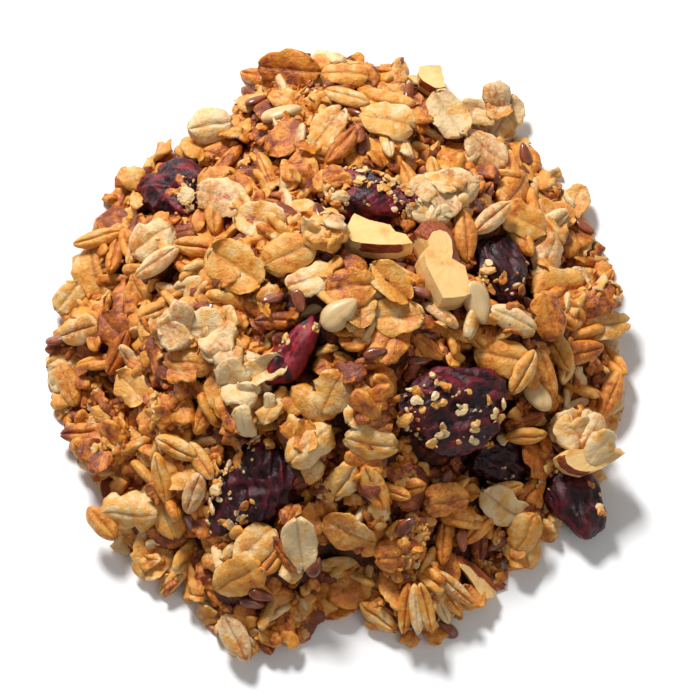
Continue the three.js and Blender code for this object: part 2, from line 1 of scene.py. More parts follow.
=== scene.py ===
"""A loose heap of baked granola as it lies on a pale surface: rolled oats, oat groats, sugar-baked nubs, flax
seeds and sunflower kernels, with dried cranberries and chopped almonds among them.

The heap is poured on a height map in millimetres, piece by piece, in the same order and with the same draws
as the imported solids, so every detailed piece lies where its solid lies. Meshes are made in metres.
"""

import math

import bmesh
import bpy
import numpy as np
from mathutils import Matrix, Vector


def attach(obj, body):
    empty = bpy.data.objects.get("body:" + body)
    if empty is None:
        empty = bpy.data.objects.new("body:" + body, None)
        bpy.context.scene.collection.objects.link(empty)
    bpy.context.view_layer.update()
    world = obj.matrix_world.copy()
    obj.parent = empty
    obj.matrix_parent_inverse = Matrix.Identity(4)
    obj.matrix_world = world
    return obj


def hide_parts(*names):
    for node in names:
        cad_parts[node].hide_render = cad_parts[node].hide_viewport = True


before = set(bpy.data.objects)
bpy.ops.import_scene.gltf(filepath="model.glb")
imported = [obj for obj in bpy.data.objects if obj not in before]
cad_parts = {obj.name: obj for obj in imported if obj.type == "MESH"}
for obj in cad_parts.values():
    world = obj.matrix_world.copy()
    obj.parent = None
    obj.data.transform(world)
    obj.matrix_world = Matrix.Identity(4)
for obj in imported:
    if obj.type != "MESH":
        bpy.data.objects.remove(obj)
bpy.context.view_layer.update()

MM = 0.001

# ---------------------------------------------------------------- the pour's dimensions, in millimetres

HEAP_HEIGHT = 30
DOME_POWER = 1.8
# The foot's radius every 15 degrees, from the right round by the back.
FOOT_RADII = np.array(
    [48.5, 48.5, 49.5, 49, 48, 52.5, 54, 53, 44.5, 49, 49.5, 47]
    + [50, 50, 48, 52.5, 52.5, 58, 47, 55, 51, 49, 51, 50]
)
LUMP_HEIGHT = 1.5
LUMP_PITCH = 21
RIM_LEVEL = 2.6
FULL_SLOPE = 7  # the skin's height from which pieces lean as the dome does

MOUND_DEPTH = 7  # how far the mound that the pour starts on lies under the skin
POUR_STEP = 1.5
POUR_DROPS = 900  # pieces dropped for each step
TRIES = 5  # places tried for each piece, of which the lowest is taken
SCATTER = 2  # how far apart these are
PROUD = 2.2  # the most that a poured piece stands out of the level that is being filled
MOST_ON_FRUIT = 0.2  # the most of it that lies on berries and nuts
FOOT_INSET = 2.5  # how far inside the foot's edge the middle of a piece of the common length stays
COMMON_LENGTH = 8
INSET_SHARE = 0.35  # how much more that is, for what a piece is longer

SINK = 0.35  # how far a poured piece settles into what it lies on
TOP_SINK = 0.9  # how far a laid piece does
POURED_SLOPE, LAID_SLOPE, FRUIT_SLOPE = 0.75, 0.5, 0.8  # how much of the dome's slope they follow
FRUIT_GAP = 0.4
CORNER_REACH = 0.5  # how far a nut's corners reach under its ellipsoid
CELL = 0.4
MAP_REACH = 66
SEED = 20260
# From the middle of the foot, which the pour is laid out from, to the middle of the whole heap's box.
BOX_SHIFT = np.array([0.22625, 0.87341, 0.0])

# Sizes of poured pieces: length, then width and thickness as shares of the length, and the steepest lean.
KINDS = {
    "flake": ((7.6, 10.2), (0.64, 0.82), (0.15, 0.19), 28),
    "groat": ((7.2, 9.6), (0.34, 0.46), (0.2, 0.26), 38),
    "shard": ((3.6, 6.0), (0.55, 0.85), (0.2, 0.26), 42),
    "nub": ((4.5, 7.5), (0.7, 0.95), (0.5, 0.7), 25),
    "flax": ((3.9, 4.6), (0.48, 0.54), (0.28, 0.32), 30),
    "kernel": ((7.0, 8.4), (0.5, 0.6), (0.26, 0.3), 30),
}
MIX = {"flake": 0.5, "groat": 0.72, "shard": 0.88, "nub": 0.955, "flax": 0.985, "kernel": 1}
THICKNESS = {"flake": 1.5, "groat": 1.9, "nub": 3.6, "flax": 1.3, "kernel": 2.2}

# The view that the heap is laid out in.
VIEW_ORIGIN = (340, 350)
MM_PER_PIXEL = 0.17
ELEVATION = math.radians(72)

# Berries and nuts: the pixel of the middle, the size, the heading, and how far it stands out of the skin.
BERRIES = {
    "cranberry_1": ((171, 187), (14.5, 12.0, 8), -40, 0.7),
    "cranberry_2": ((367, 197), (17.5, 9.6, 8), -13, 1.2),
    "cranberry_3": ((500, 270), (12.8, 10.4, 8), 100, 0.7),
    "cranberry_4": ((293, 353), (13.8, 6.0, 6), 52, 1.2),
    "cranberry_5": ((497, 462), (11.0, 9.0, 6), -20, -0.8),
    "cranberry_6": ((452, 409), (19.0, 15.4, 9), 15, 1.7),
    "cranberry_7": ((254, 486), (19.5, 13.0, 9), 42, 1.2),
    "cranberry_8": ((577, 502), (13.0, 9.5, 7), -58, 1.7),
}
NUTS = {
    "almond_1": ((379, 239), (11.6, 6.6, 4.5), -18, 0.7),
    "almond_2": ((438, 267), (16.0, 7.4, 6), -68, 1.7),
    "almond_3": ((588, 461), (12.5, 5.2, 4.5), 14, 1.2),
    "almond_4": ((475, 575), (10.8, 3.6, 3.6), -42, 0.9),
    "almond_5": ((433, 76), (5.6, 5.2, 4), -5, 0.9),
}
# Each nut's outline in pixels, the first and last point of its skin, and how wide the slope down to it is.
OUTLINES = {
    "almond_1": (
        [(412, 252), (405, 241), (394, 238), (389, 230), (367, 226), (351, 218), (345, 232), (343, 248)]
        + [(348, 254), (361, 259), (379, 260), (397, 258)],
        (9, 11),
        0.5,
    ),
    "almond_2": (
        [(466, 303), (464, 285), (461, 272), (459, 262), (456, 245), (451, 229), (443, 221), (431, 219)]
        + [(419, 224), (411, 235), (421, 254), (415, 266), (418, 278), (426, 296), (435, 313), (447, 311)]
        + [(458, 308)],
        (3, 9),
        2.2,
    ),
    "almond_3": (
        [(624, 451), (618, 446), (600, 448), (578, 451), (562, 453), (552, 462), (556, 470), (566, 476)]
        + [(580, 478), (596, 471), (610, 462)],
        (5, 8),
        0.5,
    ),
    "almond_4": (
        [(498, 590), (493, 581), (483, 571), (473, 563), (458, 556), (450, 555), (455, 565), (463, 573)]
        + [(471, 583), (478, 593), (486, 598), (494, 596)],
        (0, 5),
        1.9,
    ),
    "almond_5": (
        [(447, 88), (446, 76), (443, 61), (432, 61), (420, 63), (418, 72), (420, 82), (428, 88)]
        + [(435, 92), (441, 90)],
        (6, 8),
        0.4,
    ),
}

# Pieces that lie on top: kind, pixel of the middle, length, width, heading, the lean towards the viewer, and
# how far it is baked.
PALE, WHEATEN, GOLDEN, TOASTED = 0.06, 0.26, 0.48, 0.74
LANDMARKS = [
    ("flake", (288, 63), 11.0, 6.6, -6, 38, TOASTED),
    ("flake", (387, 119), 9.8, 7.0, -12, 10, WHEATEN),
    ("flake", (345, 70), 8.6, 4.6, -4, 10, GOLDEN),
    ("flake", (327, 128), 9.4, 5.4, 55, 15, WHEATEN),
    ("flake", (450, 112), 9.6, 6.8, -58, 20, PALE),
    ("flake", (506, 112), 8.6, 7.0, 72, 25, PALE),
    ("flake", (489, 148), 8.8, 6.4, -35, 20, PALE),
    ("flake", (447, 190), 11.4, 7.6, 18, 20, PALE),
    ("flake", (222, 198), 9.4, 7.0, -25, 15, PALE),
    ("flake", (262, 222), 9.6, 6.6, -15, 15, WHEATEN),
    ("flake", (290, 256), 9.6, 6.8, 22, 20, GOLDEN),
    ("flake", (237, 270), 11.2, 8.2, -38, 20, GOLDEN),
    ("flake", (197, 328), 11.0, 8.0, -8, 25, PALE),
    ("flake", (190, 362), 8.8, 5.0, -10, 10, GOLDEN),
    ("flake", (150, 240), 8.8, 7.4, 30, 20, PALE),
    ("groat", (158, 268), 9.4, 3.8, 30, 10, PALE),
    ("groat", (95, 237), 9.0, 3.2, 12, 5, GOLDEN),
    ("flake", (65, 297), 6.4, 4.8, 50, 20, WHEATEN),
    ("flake", (78, 330), 7.4, 5.0, 8, 25, WHEATEN),
    ("groat", (66, 385), 8.2, 4.0, -70, 10, GOLDEN),
    ("flake", (351, 288), 8.6, 6.8, 8, 10, TOASTED),
    ("kernel", (340, 314), 7.4, 4.6, 38, 10, GOLDEN),
    ("flake", (390, 284), 9.2, 5.6, -42, 10, GOLDEN),
    ("kernel", (476, 303), 7.6, 4.6, -72, 15, PALE),
    ("groat", (512, 320), 9.2, 4.4, -20, 10, PALE),
    ("flake", (523, 220), 9.6, 6.2, -18, 15, GOLDEN),
    ("groat", (492, 218), 9.0, 3.8, 45, 10, PALE),
    ("flake", (560, 290), 10.2, 8.2, 16, 20, GOLDEN),
    ("flake", (548, 325), 8.8, 6.0, -72, 15, TOASTED),
    ("groat", (545, 372), 9.2, 3.4, -70, 10, GOLDEN),
    ("groat", (522, 372), 8.6, 3.8, 62, 15, GOLDEN),
    ("flake", (606, 326), 9.4, 5.4, 14, 10, WHEATEN),
    ("groat", (580, 352), 9.6, 4.0, 20, 15, TOASTED),
    ("groat", (612, 395), 9.4, 4.0, 68, 10, TOASTED),
    ("flake", (572, 429), 8.8, 6.4, -4, 20, PALE),
    ("flake", (331, 393), 8.2, 7.2, 62, 15, WHEATEN),
    ("flake", (371, 444), 9.2, 5.8, -8, 20, WHEATEN),
    ("flake", (345, 478), 7.0, 5.4, 48, 20, WHEATEN),
    ("groat", (374, 486), 8.6, 4.2, -62, 15, GOLDEN),
    ("flake", (301, 542), 10.2, 6.0, -82, 25, PALE),
    ("flake", (349, 530), 9.6, 6.4, -20, 25, GOLDEN),
    ("groat", (178, 447), 8.0, 3.6, -28, 15, WHEATEN),
    ("groat", (163, 477), 9.2, 3.2, -76, 15, GOLDEN),
    ("groat", (195, 492), 7.8, 3.8, 68, 15, PALE),
    ("flake", (130, 512), 10.2, 7.2, -6, 25, WHEATEN),
    ("groat", (103, 532), 7.4, 4.0, -48, 10, GOLDEN),
    ("flake", (240, 575), 9.6, 7.4, 22, 25, GOLDEN),
    ("groat", (236, 636), 8.8, 4.6, -62, 10, PALE),
    ("flake", (504, 506), 10.2, 6.2, -24, 25, PALE),
    ("flake", (524, 532), 7.6, 6.0, 60, 30, GOLDEN),
    ("flake", (445, 500), 8.0, 6.4, 10, 25, TOASTED),
    ("flake", (208, 122), 8.0, 6.2, 10, 15, PALE),
    ("nub", (326, 233), 7.2, 6.4, 20, 0, WHEATEN),
    ("nub", (110, 448), 9.6, 6.0, -15, 0, TOASTED),
    ("nub", (170, 412), 8.0, 6.6, 30, 0, TOASTED),
    ("nub", (602, 298), 8.4, 5.6, 20, 0, TOASTED),
    ("flax", (398, 60), 4.2, 2.2, 55, 20, GOLDEN),
    ("flax", (375, 353), 4.2, 2.0, 15, 20, GOLDEN),
    ("flax", (315, 565), 4.0, 2.6, 60, 20, GOLDEN),
    ("flax", (300, 302), 4.2, 2.4, -70, 20, GOLDEN),
    ("flax", (405, 524), 4.4, 2.4, 40, 20, GOLDEN),
    ("flax", (262, 594), 4.4, 2.2, -12, 20, GOLDEN),
]
# Clusters of broken oats that syrup holds together: pixel of the middle, how far they spread to the side and
# up in pixels, how many there are, and how far they are baked.
CLUSTERS = [
    ((250, 385), (12, 20), 18, 0.0),
    ((197, 336), (13, 10), 6, PALE),
    ((445, 196), (13, 10), 9, PALE),
    ((577, 430), (12, 9), 9, PALE),
    ((498, 112), (9, 10), 6, PALE),
    ((112, 452), (20, 11), 12, TOASTED),
    ((172, 410), (13, 11), 9, TOASTED),
    ((375, 405), (10, 8), 6, TOASTED),
    ((318, 178), (13, 4), 5, TOASTED),
]
SPRAY_AT = (411, 552)
SPRAY_HEADINGS = (-96, -85, -75, -61, -50, -39)
SPRAY_REACH = 55
SPRAY_SIZE = (8.8, 2.7)
SPRAY_LEAN = 10
SPRAY_BAKED = (0.5, 0.12, 0.34, 0.08, 0.42, 0.22)

# ---------------------------------------------------------------- chance and the heap's skin

WORD = 0xFFFFFFFF


def seeded(state):
    """Mulberry32: the same draws on every run."""
    box = [state & WORD]

    def draw():
        box[0] = (box[0] + 0x6D2B79F5) & WORD
        t = box[0]
        t = ((t ^ (t >> 15)) * (t | 1)) & WORD
        t ^= (t + (((t ^ (t >> 7)) * (t | 61)) & WORD)) & WORD
        return ((t ^ (t >> 14)) & WORD) / (WORD + 1)

    return draw


random = seeded(SEED)


def between(ends):
    """A number between two ends, by the pour's own draws."""
    return ends[0] + (ends[1] - ends[0]) * random()


def unit(vector):
    return vector / np.linalg.norm(vector)


def foot_radius(x, y):
    """How far the foot reaches in the direction of a place."""
    turns = np.arctan2(y, x) / (2 * math.pi)
    place = (turns - np.floor(turns)) * len(FOOT_RADII)
    i = np.floor(place).astype(int) % len(FOOT_RADII)
    share = place - np.floor(place)
    ease = share * share * (3 - 2 * share)
    return FOOT_RADII[i] * (1 - ease) + FOOT_RADII[(i + 1) % len(FOOT_RADII)] * ease


def foot_at(turn):
    """How far the foot reaches at an angle."""
    return float(foot_radius(math.cos(turn), math.sin(turn)))


def skin_height(x, y):
    """Height of the heap's skin, which pieces are poured up to."""
    share = np.hypot(x, y) / foot_radius(x, y)
    k = 2 * math.pi / LUMP_PITCH
    lumps = np.sin(k * x + 1.3) * np.sin(k * y + 0.4) + 0.6 * np.sin(0.7 * k * (x + y) + 2.1)
    height = HEAP_HEIGHT * (1 - share**DOME_POWER) + LUMP_HEIGHT * lumps * (1 - share)
    return np.where(share >= 1, 0.0, height)


def dome_slopes(x, y):
    """Slopes along x and y of pieces that lie on the dome, which flatten out to the foot."""
    r = np.maximum(1e-6, np.hypot(x, y))
    foot = foot_radius(x, y)
    fall = -HEAP_HEIGHT * DOME_POWER * np.minimum(1, r / foot) ** (DOME_POWER - 1) / foot
    ease = np.minimum(1, skin_height(x, y) / FULL_SLOPE)
    return fall * ease * x / r, fall * ease * y / r


def out_of_dome(x, y):
    """The direction out of the dome at a place, not of unit length."""
    slope_x, slope_y = dome_slopes(x, y)
    return np.array([-float(slope_x), -float(slope_y), 1.0])


# ---------------------------------------------------------------- pouring

SIDE = round(2 * MAP_REACH / CELL) + 1


def cell_of(v):
    """The row or column of the height map that a place lies in."""
    return np.floor((v + MAP_REACH) / CELL + 0.5).astype(int)


PLACES = np.arange(SIDE) * CELL - MAP_REACH
mound = np.maximum(0, skin_height(PLACES[None, :], PLACES[:, None]) - MOUND_DEPTH)
top = mound.ravel().copy()
bed = mound.ravel().copy()
owner = np.full(SIDE * SIDE, -1)
is_fruit = np.zeros(SIDE * SIDE, bool)
pieces = []


class Lying:
    """What lies in the heap: it has a middle, a size and axes of its own."""

    def middle(self):
        return np.array([self.x, self.y, self.z])

    def half_size(self):
        return np.array([self.length, self.width, self.thickness]) / 2

    def axes(self):
        return np.stack([self.along, self.across, self.out])

    def in_place(self, local):
        """Points in the heap's frame, from points on its own axes."""
        return local @ self.axes() + self.middle()


class Piece(Lying):
    """An ellipsoid that lies along the plane whose slopes are p and q."""

    def __init__(self, kind, x, y, p, q, heading, size):
        self.kind = kind
        self.x, self.y, self.z = float(x), float(y), 0.0
        self.p, self.q = float(p), float(q)
        self.heading = heading
        self.length, self.width, self.thickness = size
        self.baked = None
        forward, aside = math.cos(heading), math.sin(heading)
        self.out = unit(np.array([-self.p, -self.q, 1.0]))
        self.along = unit(np.array([forward, aside, self.p * forward + self.q * aside]))
        self.across = np.cross(self.out, self.along)

    def cells(self):
        """The cells under it, its mid plane's height there over its middle, and its half thickness."""
        reach = max(self.length, self.width) / 2 + CELL
        i = np.arange(cell_of(self.x - reach), cell_of(self.x + reach) + 1)
        j = np.arange(cell_of(self.y - reach), cell_of(self.y + reach) + 1)
        dx = (PLACES[i] - self.x)[None, :]
        dy = (PLACES[j] - self.y)[:, None]
        dz = self.p * dx + self.q * dy
        u = (dx * self.along[0] + dy * self.along[1] + dz * self.along[2]) / (self.length / 2)
        v = (dx * self.across[0] + dy * self.across[1] + dz * self.across[2]) / (self.width / 2)
        left = 1 - u * u - v * v
        inside = left > 0
        steep = math.sqrt(1 + self.p * self.p + self.q * self.q)
        cell = (j[:, None] * SIDE + i[None, :])[inside]
        return cell, dz[inside], self.thickness * steep / 2 * np.sqrt(left[inside])

    def rest(self, sink):
        """Lets it down until it touches, and then by the little that it settles, but not into the ground."""
        cell, dz, half = self.cells()
        z = max(0.0, float(np.max(top[cell] - dz + half))) if len(cell) else 0.0
        rises = (self.along[2] * self.length, self.across[2] * self.width, self.out[2] * self.thickness)
        reach = math.hypot(*(rise / 2 for rise in rises))
        self.z = max(z - sink, reach)
        self.peak = self.z + reach
        self.fruit_share = int(is_fruit[cell].sum()) / max(1, len(cell))

    def settle(self, maps, fruit=False):
        """Leaves it where it is, and raises the maps under it."""
        pieces.append(self)
        cell, dz, half = self.cells()
        height = self.z + dz + half
        for heights in maps:
            higher = height > heights[cell]
            heights[cell[higher]] = height[higher]
            if heights is top:
                owner[cell[higher]] = len(pieces) - 1
                is_fruit[cell[higher]] = fruit


def drop_one(depth):
    """Drops one piece somewhere in the foot, and keeps it if it stays near the level that is being filled."""
    chance = random()
    kind = next(name for name, share in MIX.items() if chance <= share)
    lengths, widths, thicknesses, steepest = KINDS[kind]
    length = between(lengths)
    width = length * between(widths)
    thickness = length * between(thicknesses)
    turn = 2 * math.pi * random()
    share = math.sqrt(random())
    inset = FOOT_INSET + INSET_SHARE * (length - COMMON_LENGTH)
    r = share * (foot_at(turn) - inset)
    best = None
    for _ in range(TRIES):
        x = r * math.cos(turn) + SCATTER * (random() - 0.5)
        y = r * math.sin(turn) + SCATTER * (random() - 0.5)
        lean = math.tan(math.radians(steepest * math.sqrt(random())))
        towards = 2 * math.pi * random()
        slope_x, slope_y = dome_slopes(x, y)
        p = POURED_SLOPE * slope_x + lean * math.cos(towards)
        q = POURED_SLOPE * slope_y + lean * math.sin(towards)
        piece = Piece(kind, x, y, p, q, 2 * math.pi * random(), (length, width, thickness))
        piece.rest(SINK)
        if best is None or piece.peak < best.peak:
            best = piece
    level = max(RIM_LEVEL, float(skin_height(best.x, best.y)) - depth)
    if best.peak <= level + PROUD and best.fruit_share <= MOST_ON_FRUIT:
        best.settle([top, bed])


RAY_START = HEAP_HEIGHT + 8
RAY_STEP = 0.1


def spot_at(pixel, height=None):
    """Where the view's ray through a pixel meets the pile, or the height given."""
    x = (pixel[0] - VIEW_ORIGIN[0]) * MM_PER_PIXEL
    up = (VIEW_ORIGIN[1] - pixel[1]) * MM_PER_PIXEL

    def y_at(z):
        return (up - z * math.cos(ELEVATION)) / math.sin(ELEVATION)

    if height is not None:
        return x, y_at(height)
    z = RAY_START
    while z > 0 and top[cell_of(y_at(z)) * SIDE + cell_of(x)] < z:
        z -= RAY_STEP
    return x, y_at(z)


def lay(kind, at, size, heading, lean, ceiling=None):
    """Lays a piece on the pile, its middle under the ceiling, so that its middle shows at the pixel."""
    x, y = spot_at(at)
    for _ in range(3):
        slope_x, slope_y = dome_slopes(x, y)
        q = LAID_SLOPE * slope_y + math.tan(math.radians(lean))
        piece = Piece(kind, x, y, LAID_SLOPE * slope_x, q, math.radians(heading), size)
        piece.rest(TOP_SINK)
        if ceiling is not None:
            highest = float(ceiling[cell_of(y) * SIDE + cell_of(x)])
            piece.z = max(min(piece.z, highest), piece.peak - piece.z)
        x, y = spot_at(at, piece.z)
    piece.settle([top, bed])


def embed(kind, at, size, heading, proud):
    """Sets a berry or nut into the mound, and packs the mound up to its underside."""
    x, y = spot_at(at)
    corner = CORNER_REACH if kind == "almond" else 0
    for _ in range(4):
        slope_x, slope_y = dome_slopes(x, y)
        piece = Piece(kind, x, y, FRUIT_SLOPE * slope_x, FRUIT_SLOPE * slope_y, math.radians(heading), size)
        piece.rest(MAP_REACH)
        height = float(skin_height(x, y)) + (proud - size[2] / 2) * math.hypot(piece.p, piece.q, 1)
        piece.z = max(piece.z + FRUIT_GAP + corner, height)
        cell, dz, half = piece.cells()
        on = is_fruit[cell]
        if on.any():
            piece.z = max(piece.z, float(np.max((top[cell] - dz + half + FRUIT_GAP)[on])))
        x, y = spot_at(at, piece.z)
    piece.settle([top], True)
    bed[cell] = np.maximum(bed[cell], piece.z + dz - half - FRUIT_GAP)
    return piece


fruits = {name: embed("cranberry", *berry) for name, berry in BERRIES.items()}
fruits.update({name: embed("almond", *nut) for name, nut in NUTS.items()})
fruit_numbers = {name: number for number, name in enumerate(fruits)}
for pour_depth in np.arange(MOUND_DEPTH - POUR_STEP, 0, -POUR_STEP):
    for _ in range(POUR_DROPS):
        drop_one(pour_depth)
first_landmark = len(pieces)
for kind, at, length, width, heading, lean, baked in LANDMARKS:
    lay(kind, at, (length, width, THICKNESS[kind]), heading, lean)
    pieces[-1].baked = baked
for heading, baked in zip(SPRAY_HEADINGS, SPRAY_BAKED):
    turn = math.radians(heading)
    at = (SPRAY_AT[0] + SPRAY_REACH * math.cos(turn), SPRAY_AT[1] - SPRAY_REACH * math.sin(turn))
    lay("groat", at, (*SPRAY_SIZE, THICKNESS["groat"]), heading, SPRAY_LEAN)
    pieces[-1].baked = baked

# ---------------------------------------------------------------- meshes

rng = np.random.default_rng(SEED)
LEAST_HEIGHT = 0.03  # nothing reaches under this height, so nothing dips into the floor


def make_object(name, points, triangles, attributes, material, nodes, sharp=None):
    """A mesh piece in metres from points in the pour's millimetres, with float attributes on its points."""
    points = np.asarray(points, float).reshape(-1, 3).copy()
    points[:, 2] = np.maximum(points[:, 2], LEAST_HEIGHT)
    points = (points + BOX_SHIFT) * MM
    triangles = np.asarray(triangles, np.int32).reshape(-1, 3)
    mesh = bpy.data.meshes.new(name)
    mesh.vertices.add(len(points))
    mesh.vertices.foreach_set("co", points.astype(np.float32).ravel())
    mesh.loops.add(triangles.size)
    mesh.loops.foreach_set("vertex_index", triangles.ravel())
    mesh.polygons.add(len(triangles))
    mesh.polygons.foreach_set("loop_start", np.arange(0, triangles.size, 3, dtype=np.int32))
    mesh.polygons.foreach_set("use_smooth", np.ones(len(triangles), bool))
    mesh.update(calc_edges=True)
    mesh.validate()
    if sharp is not None:
        mesh.set_sharp_from_angle(angle=math.radians(sharp))
    for label, values in attributes.items():
        values = np.asarray(values, np.float32)
        if values.ndim > 1:
            mesh.attributes.new(label, "FLOAT_VECTOR", "POINT").data.foreach_set("vector", values.ravel())
        else:
            mesh.attributes.new(label, "FLOAT", "POINT").data.foreach_set("value", values)
    mesh.materials.append(material)
    piece = bpy.data.objects.new(name, mesh)
    bpy.context.scene.collection.objects.link(piece)
    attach(piece, "root")
    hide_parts(*nodes)


def loft_triangles(stations, around):
    """Triangles of a closed tube of rings between two tips, whose points come last."""
    tip_a, tip_b = stations * around, stations * around + 1
    k = np.arange(around)
    after = (k + 1) % around
    rows = []
    for s in range(stations - 1):
        a, b = s * around + k, s * around + after
        rows += [np.stack([a, b, b + around], 1), np.stack([a, b + around, a + around], 1)]
    last = (stations - 1) * around
    rows.append(np.stack([np.full(around, tip_a), after, k], 1))
    rows.append(np.stack([np.full(around, tip_b), last + k, last + after], 1))
    return np.concatenate(rows)


def repeat_triangles(triangles, count, points_each):
    return (triangles[None] + (np.arange(count) * points_each)[:, None, None]).reshape(-1, 3)


def placed(members, local):
    """Points of many pieces in the heap's frame, from points on each one's own axes."""
    axes = np.array([member.axes() for member in members])
    middles = np.array([member.middle() for member in members])
    return np.einsum("nki,nij->nkj", local, axes) + middles[:, None, :]


def spread(count):
    """A number from 0 to 1 for each piece."""
    return rng.random((count, 1, 1))


def waves(x, count, amounts, speeds):
    """Smooth random rows, one for each piece: sums of sines over x, whose first axis is the pieces."""
    total = 0
    for amount, speed in zip(amounts, speeds):
        pace = speed * (0.8 + 0.4 * spread(count))
        total = total + amount * np.sin(pace * x + 2 * math.pi * spread(count))
    return total


# Places across a flat piece's section: over the top from one rim to the other, then back underneath.
FINE = (
    (1, 0.95, 0.82, 0.62, 0.38, 0.16, 0.06, 0, -0.06, -0.16, -0.38, -0.62, -0.82, -0.95, -1),
    (-0.75, -0.35, 0, 0.35, 0.75),
)
PLAIN = ((1, 0.8, 0.45, 0.15, 0, -0.15, -0.45, -0.8, -1), (-0.6, 0, 0.6))

# Forms of the flat kinds, as shares of the width or thickness: how square and how blunt the outline is, how
# much it tapers, its waviness and raggedness, how often it is chipped, how far its ends are broken off, the
# crease's depth, the most that a piece curls, bends, twists and ruffles, and how thin it is.
TERMS = (
    "square", "blunt", "taper", "wavy", "ragged", "chips", "broken", "crease",
    "curl", "bend", "twist", "ruffle", "thin",
)
FORMS = {
    "flake": (2.6, 0.5, 0, 0.06, 0.03, 0.34, 0.16, 0.7, 0.2, 0.08, 0.12, 0.06, 0.85),
    "groat": (2.1, 0.6, 0, 0.03, 0.012, 0.1, 0.05, 0.6, 0.05, 0.06, 0.05, 0.02, 1),
    "shard": (3.5, 0.45, 0, 0.14, 0.08, 0.34, 0, 0.15, 0.2, 0.1, 0.15, 0.1, 1),
    "flax": (2.0, 0.55, 0.3, 0.01, 0, 0.1, 0, 0, 0, 0.02, 0, 0, 1),
    "kernel": (2.0, 0.55, 0.3, 0.03, 0.01, 0.1, 0, 0, 0.03, 0.05, 0.02, 0.01, 1),
    "bit": (4.0, 0.4, 0, 0.2, 0.1, 0.34, 0, 0, 0.15, 0.1, 0.2, 0.1, 1),
}


def side_width(form, u, count):
    """Half the width along one side, which has its own waves, a ragged edge and now and then a chip."""
    half = np.maximum(0, 1 - np.abs(u) ** form["square"]) ** form["blunt"]
    half = half * (1 + waves(u, count, [form["wavy"], 0.6 * form["wavy"]], [2.5, 6]))
    half = half * (1 + form["ragged"] * rng.standard_normal(half.shape))
    for _ in range(2):
        chip = (spread(count) < form["chips"]) * (0.08 + 0.2 * spread(count))
        half = half * (1 - chip * np.exp(-(((u - 1.8 * (spread(count) - 0.5)) / 0.13) ** 2)))
    return half * (1 - form["taper"] * u)


def lengthwise(form, u, v, count):
    """Places along the length, with a notch where the crease runs out at a tip, and with broken ends."""
    notch = (spread(count) < 0.55) * form["crease"] * 0.14 * np.exp(-((v / 0.3) ** 2)) * np.maximum(0, u) ** 6
    wander = form["ragged"] * rng.standard_normal(u.shape) * 0.35
    ends = np.where(u > 0, rng.random((count, 1, v.shape[2])), rng.random((count, 1, v.shape[2])))
    broken = form["broken"] * (0.4 + 1.2 * spread(count)) * (ends - 0.3) * np.abs(u) ** 5
    return u * (1 - notch - broken) + wander * (1 - u**8)


def faces(form, u, v, beside, is_over, half_thick, count):
    """Heights of the upper and lower face, which have a crease between two lobes."""
    crease = np.exp(-((beside / 0.1) ** 2)) * np.maximum(0, 1 - u**6)
    deep = form["crease"] * (0.25 + 0.65 * spread(count))
    upper = half_thick * (1 - deep * crease) * (1 + 0.12 * np.exp(-(((np.abs(v) - 0.45) / 0.2) ** 2)))
    return np.where(is_over, upper, -half_thick * (0.85 - 0.4 * deep * crease))


def bent(form, u, v, height, length, width, count):
    """The heights once the whole piece is curled, bent and twisted and its edges are ruffled."""
    curled = np.where(spread(count) < 0.16, 1.7, 0.6)
    curl = form["curl"] * curled * (2 * spread(count) - 1)
    bend = form["bend"] * (2 * spread(count) - 1)
    twist = form["twist"] * (2 * spread(count) - 1)
    ruffle = form["ruffle"] * waves(u, count, [1, 0.6], [5, 9]) * np.abs(v) ** 3 * np.sign(v + 1e-9)
    height = height + width * curl * (v**2 - 0.4) + length * bend * (u**2 - 0.4) + width * twist * u * v
    return height + width * ruffle


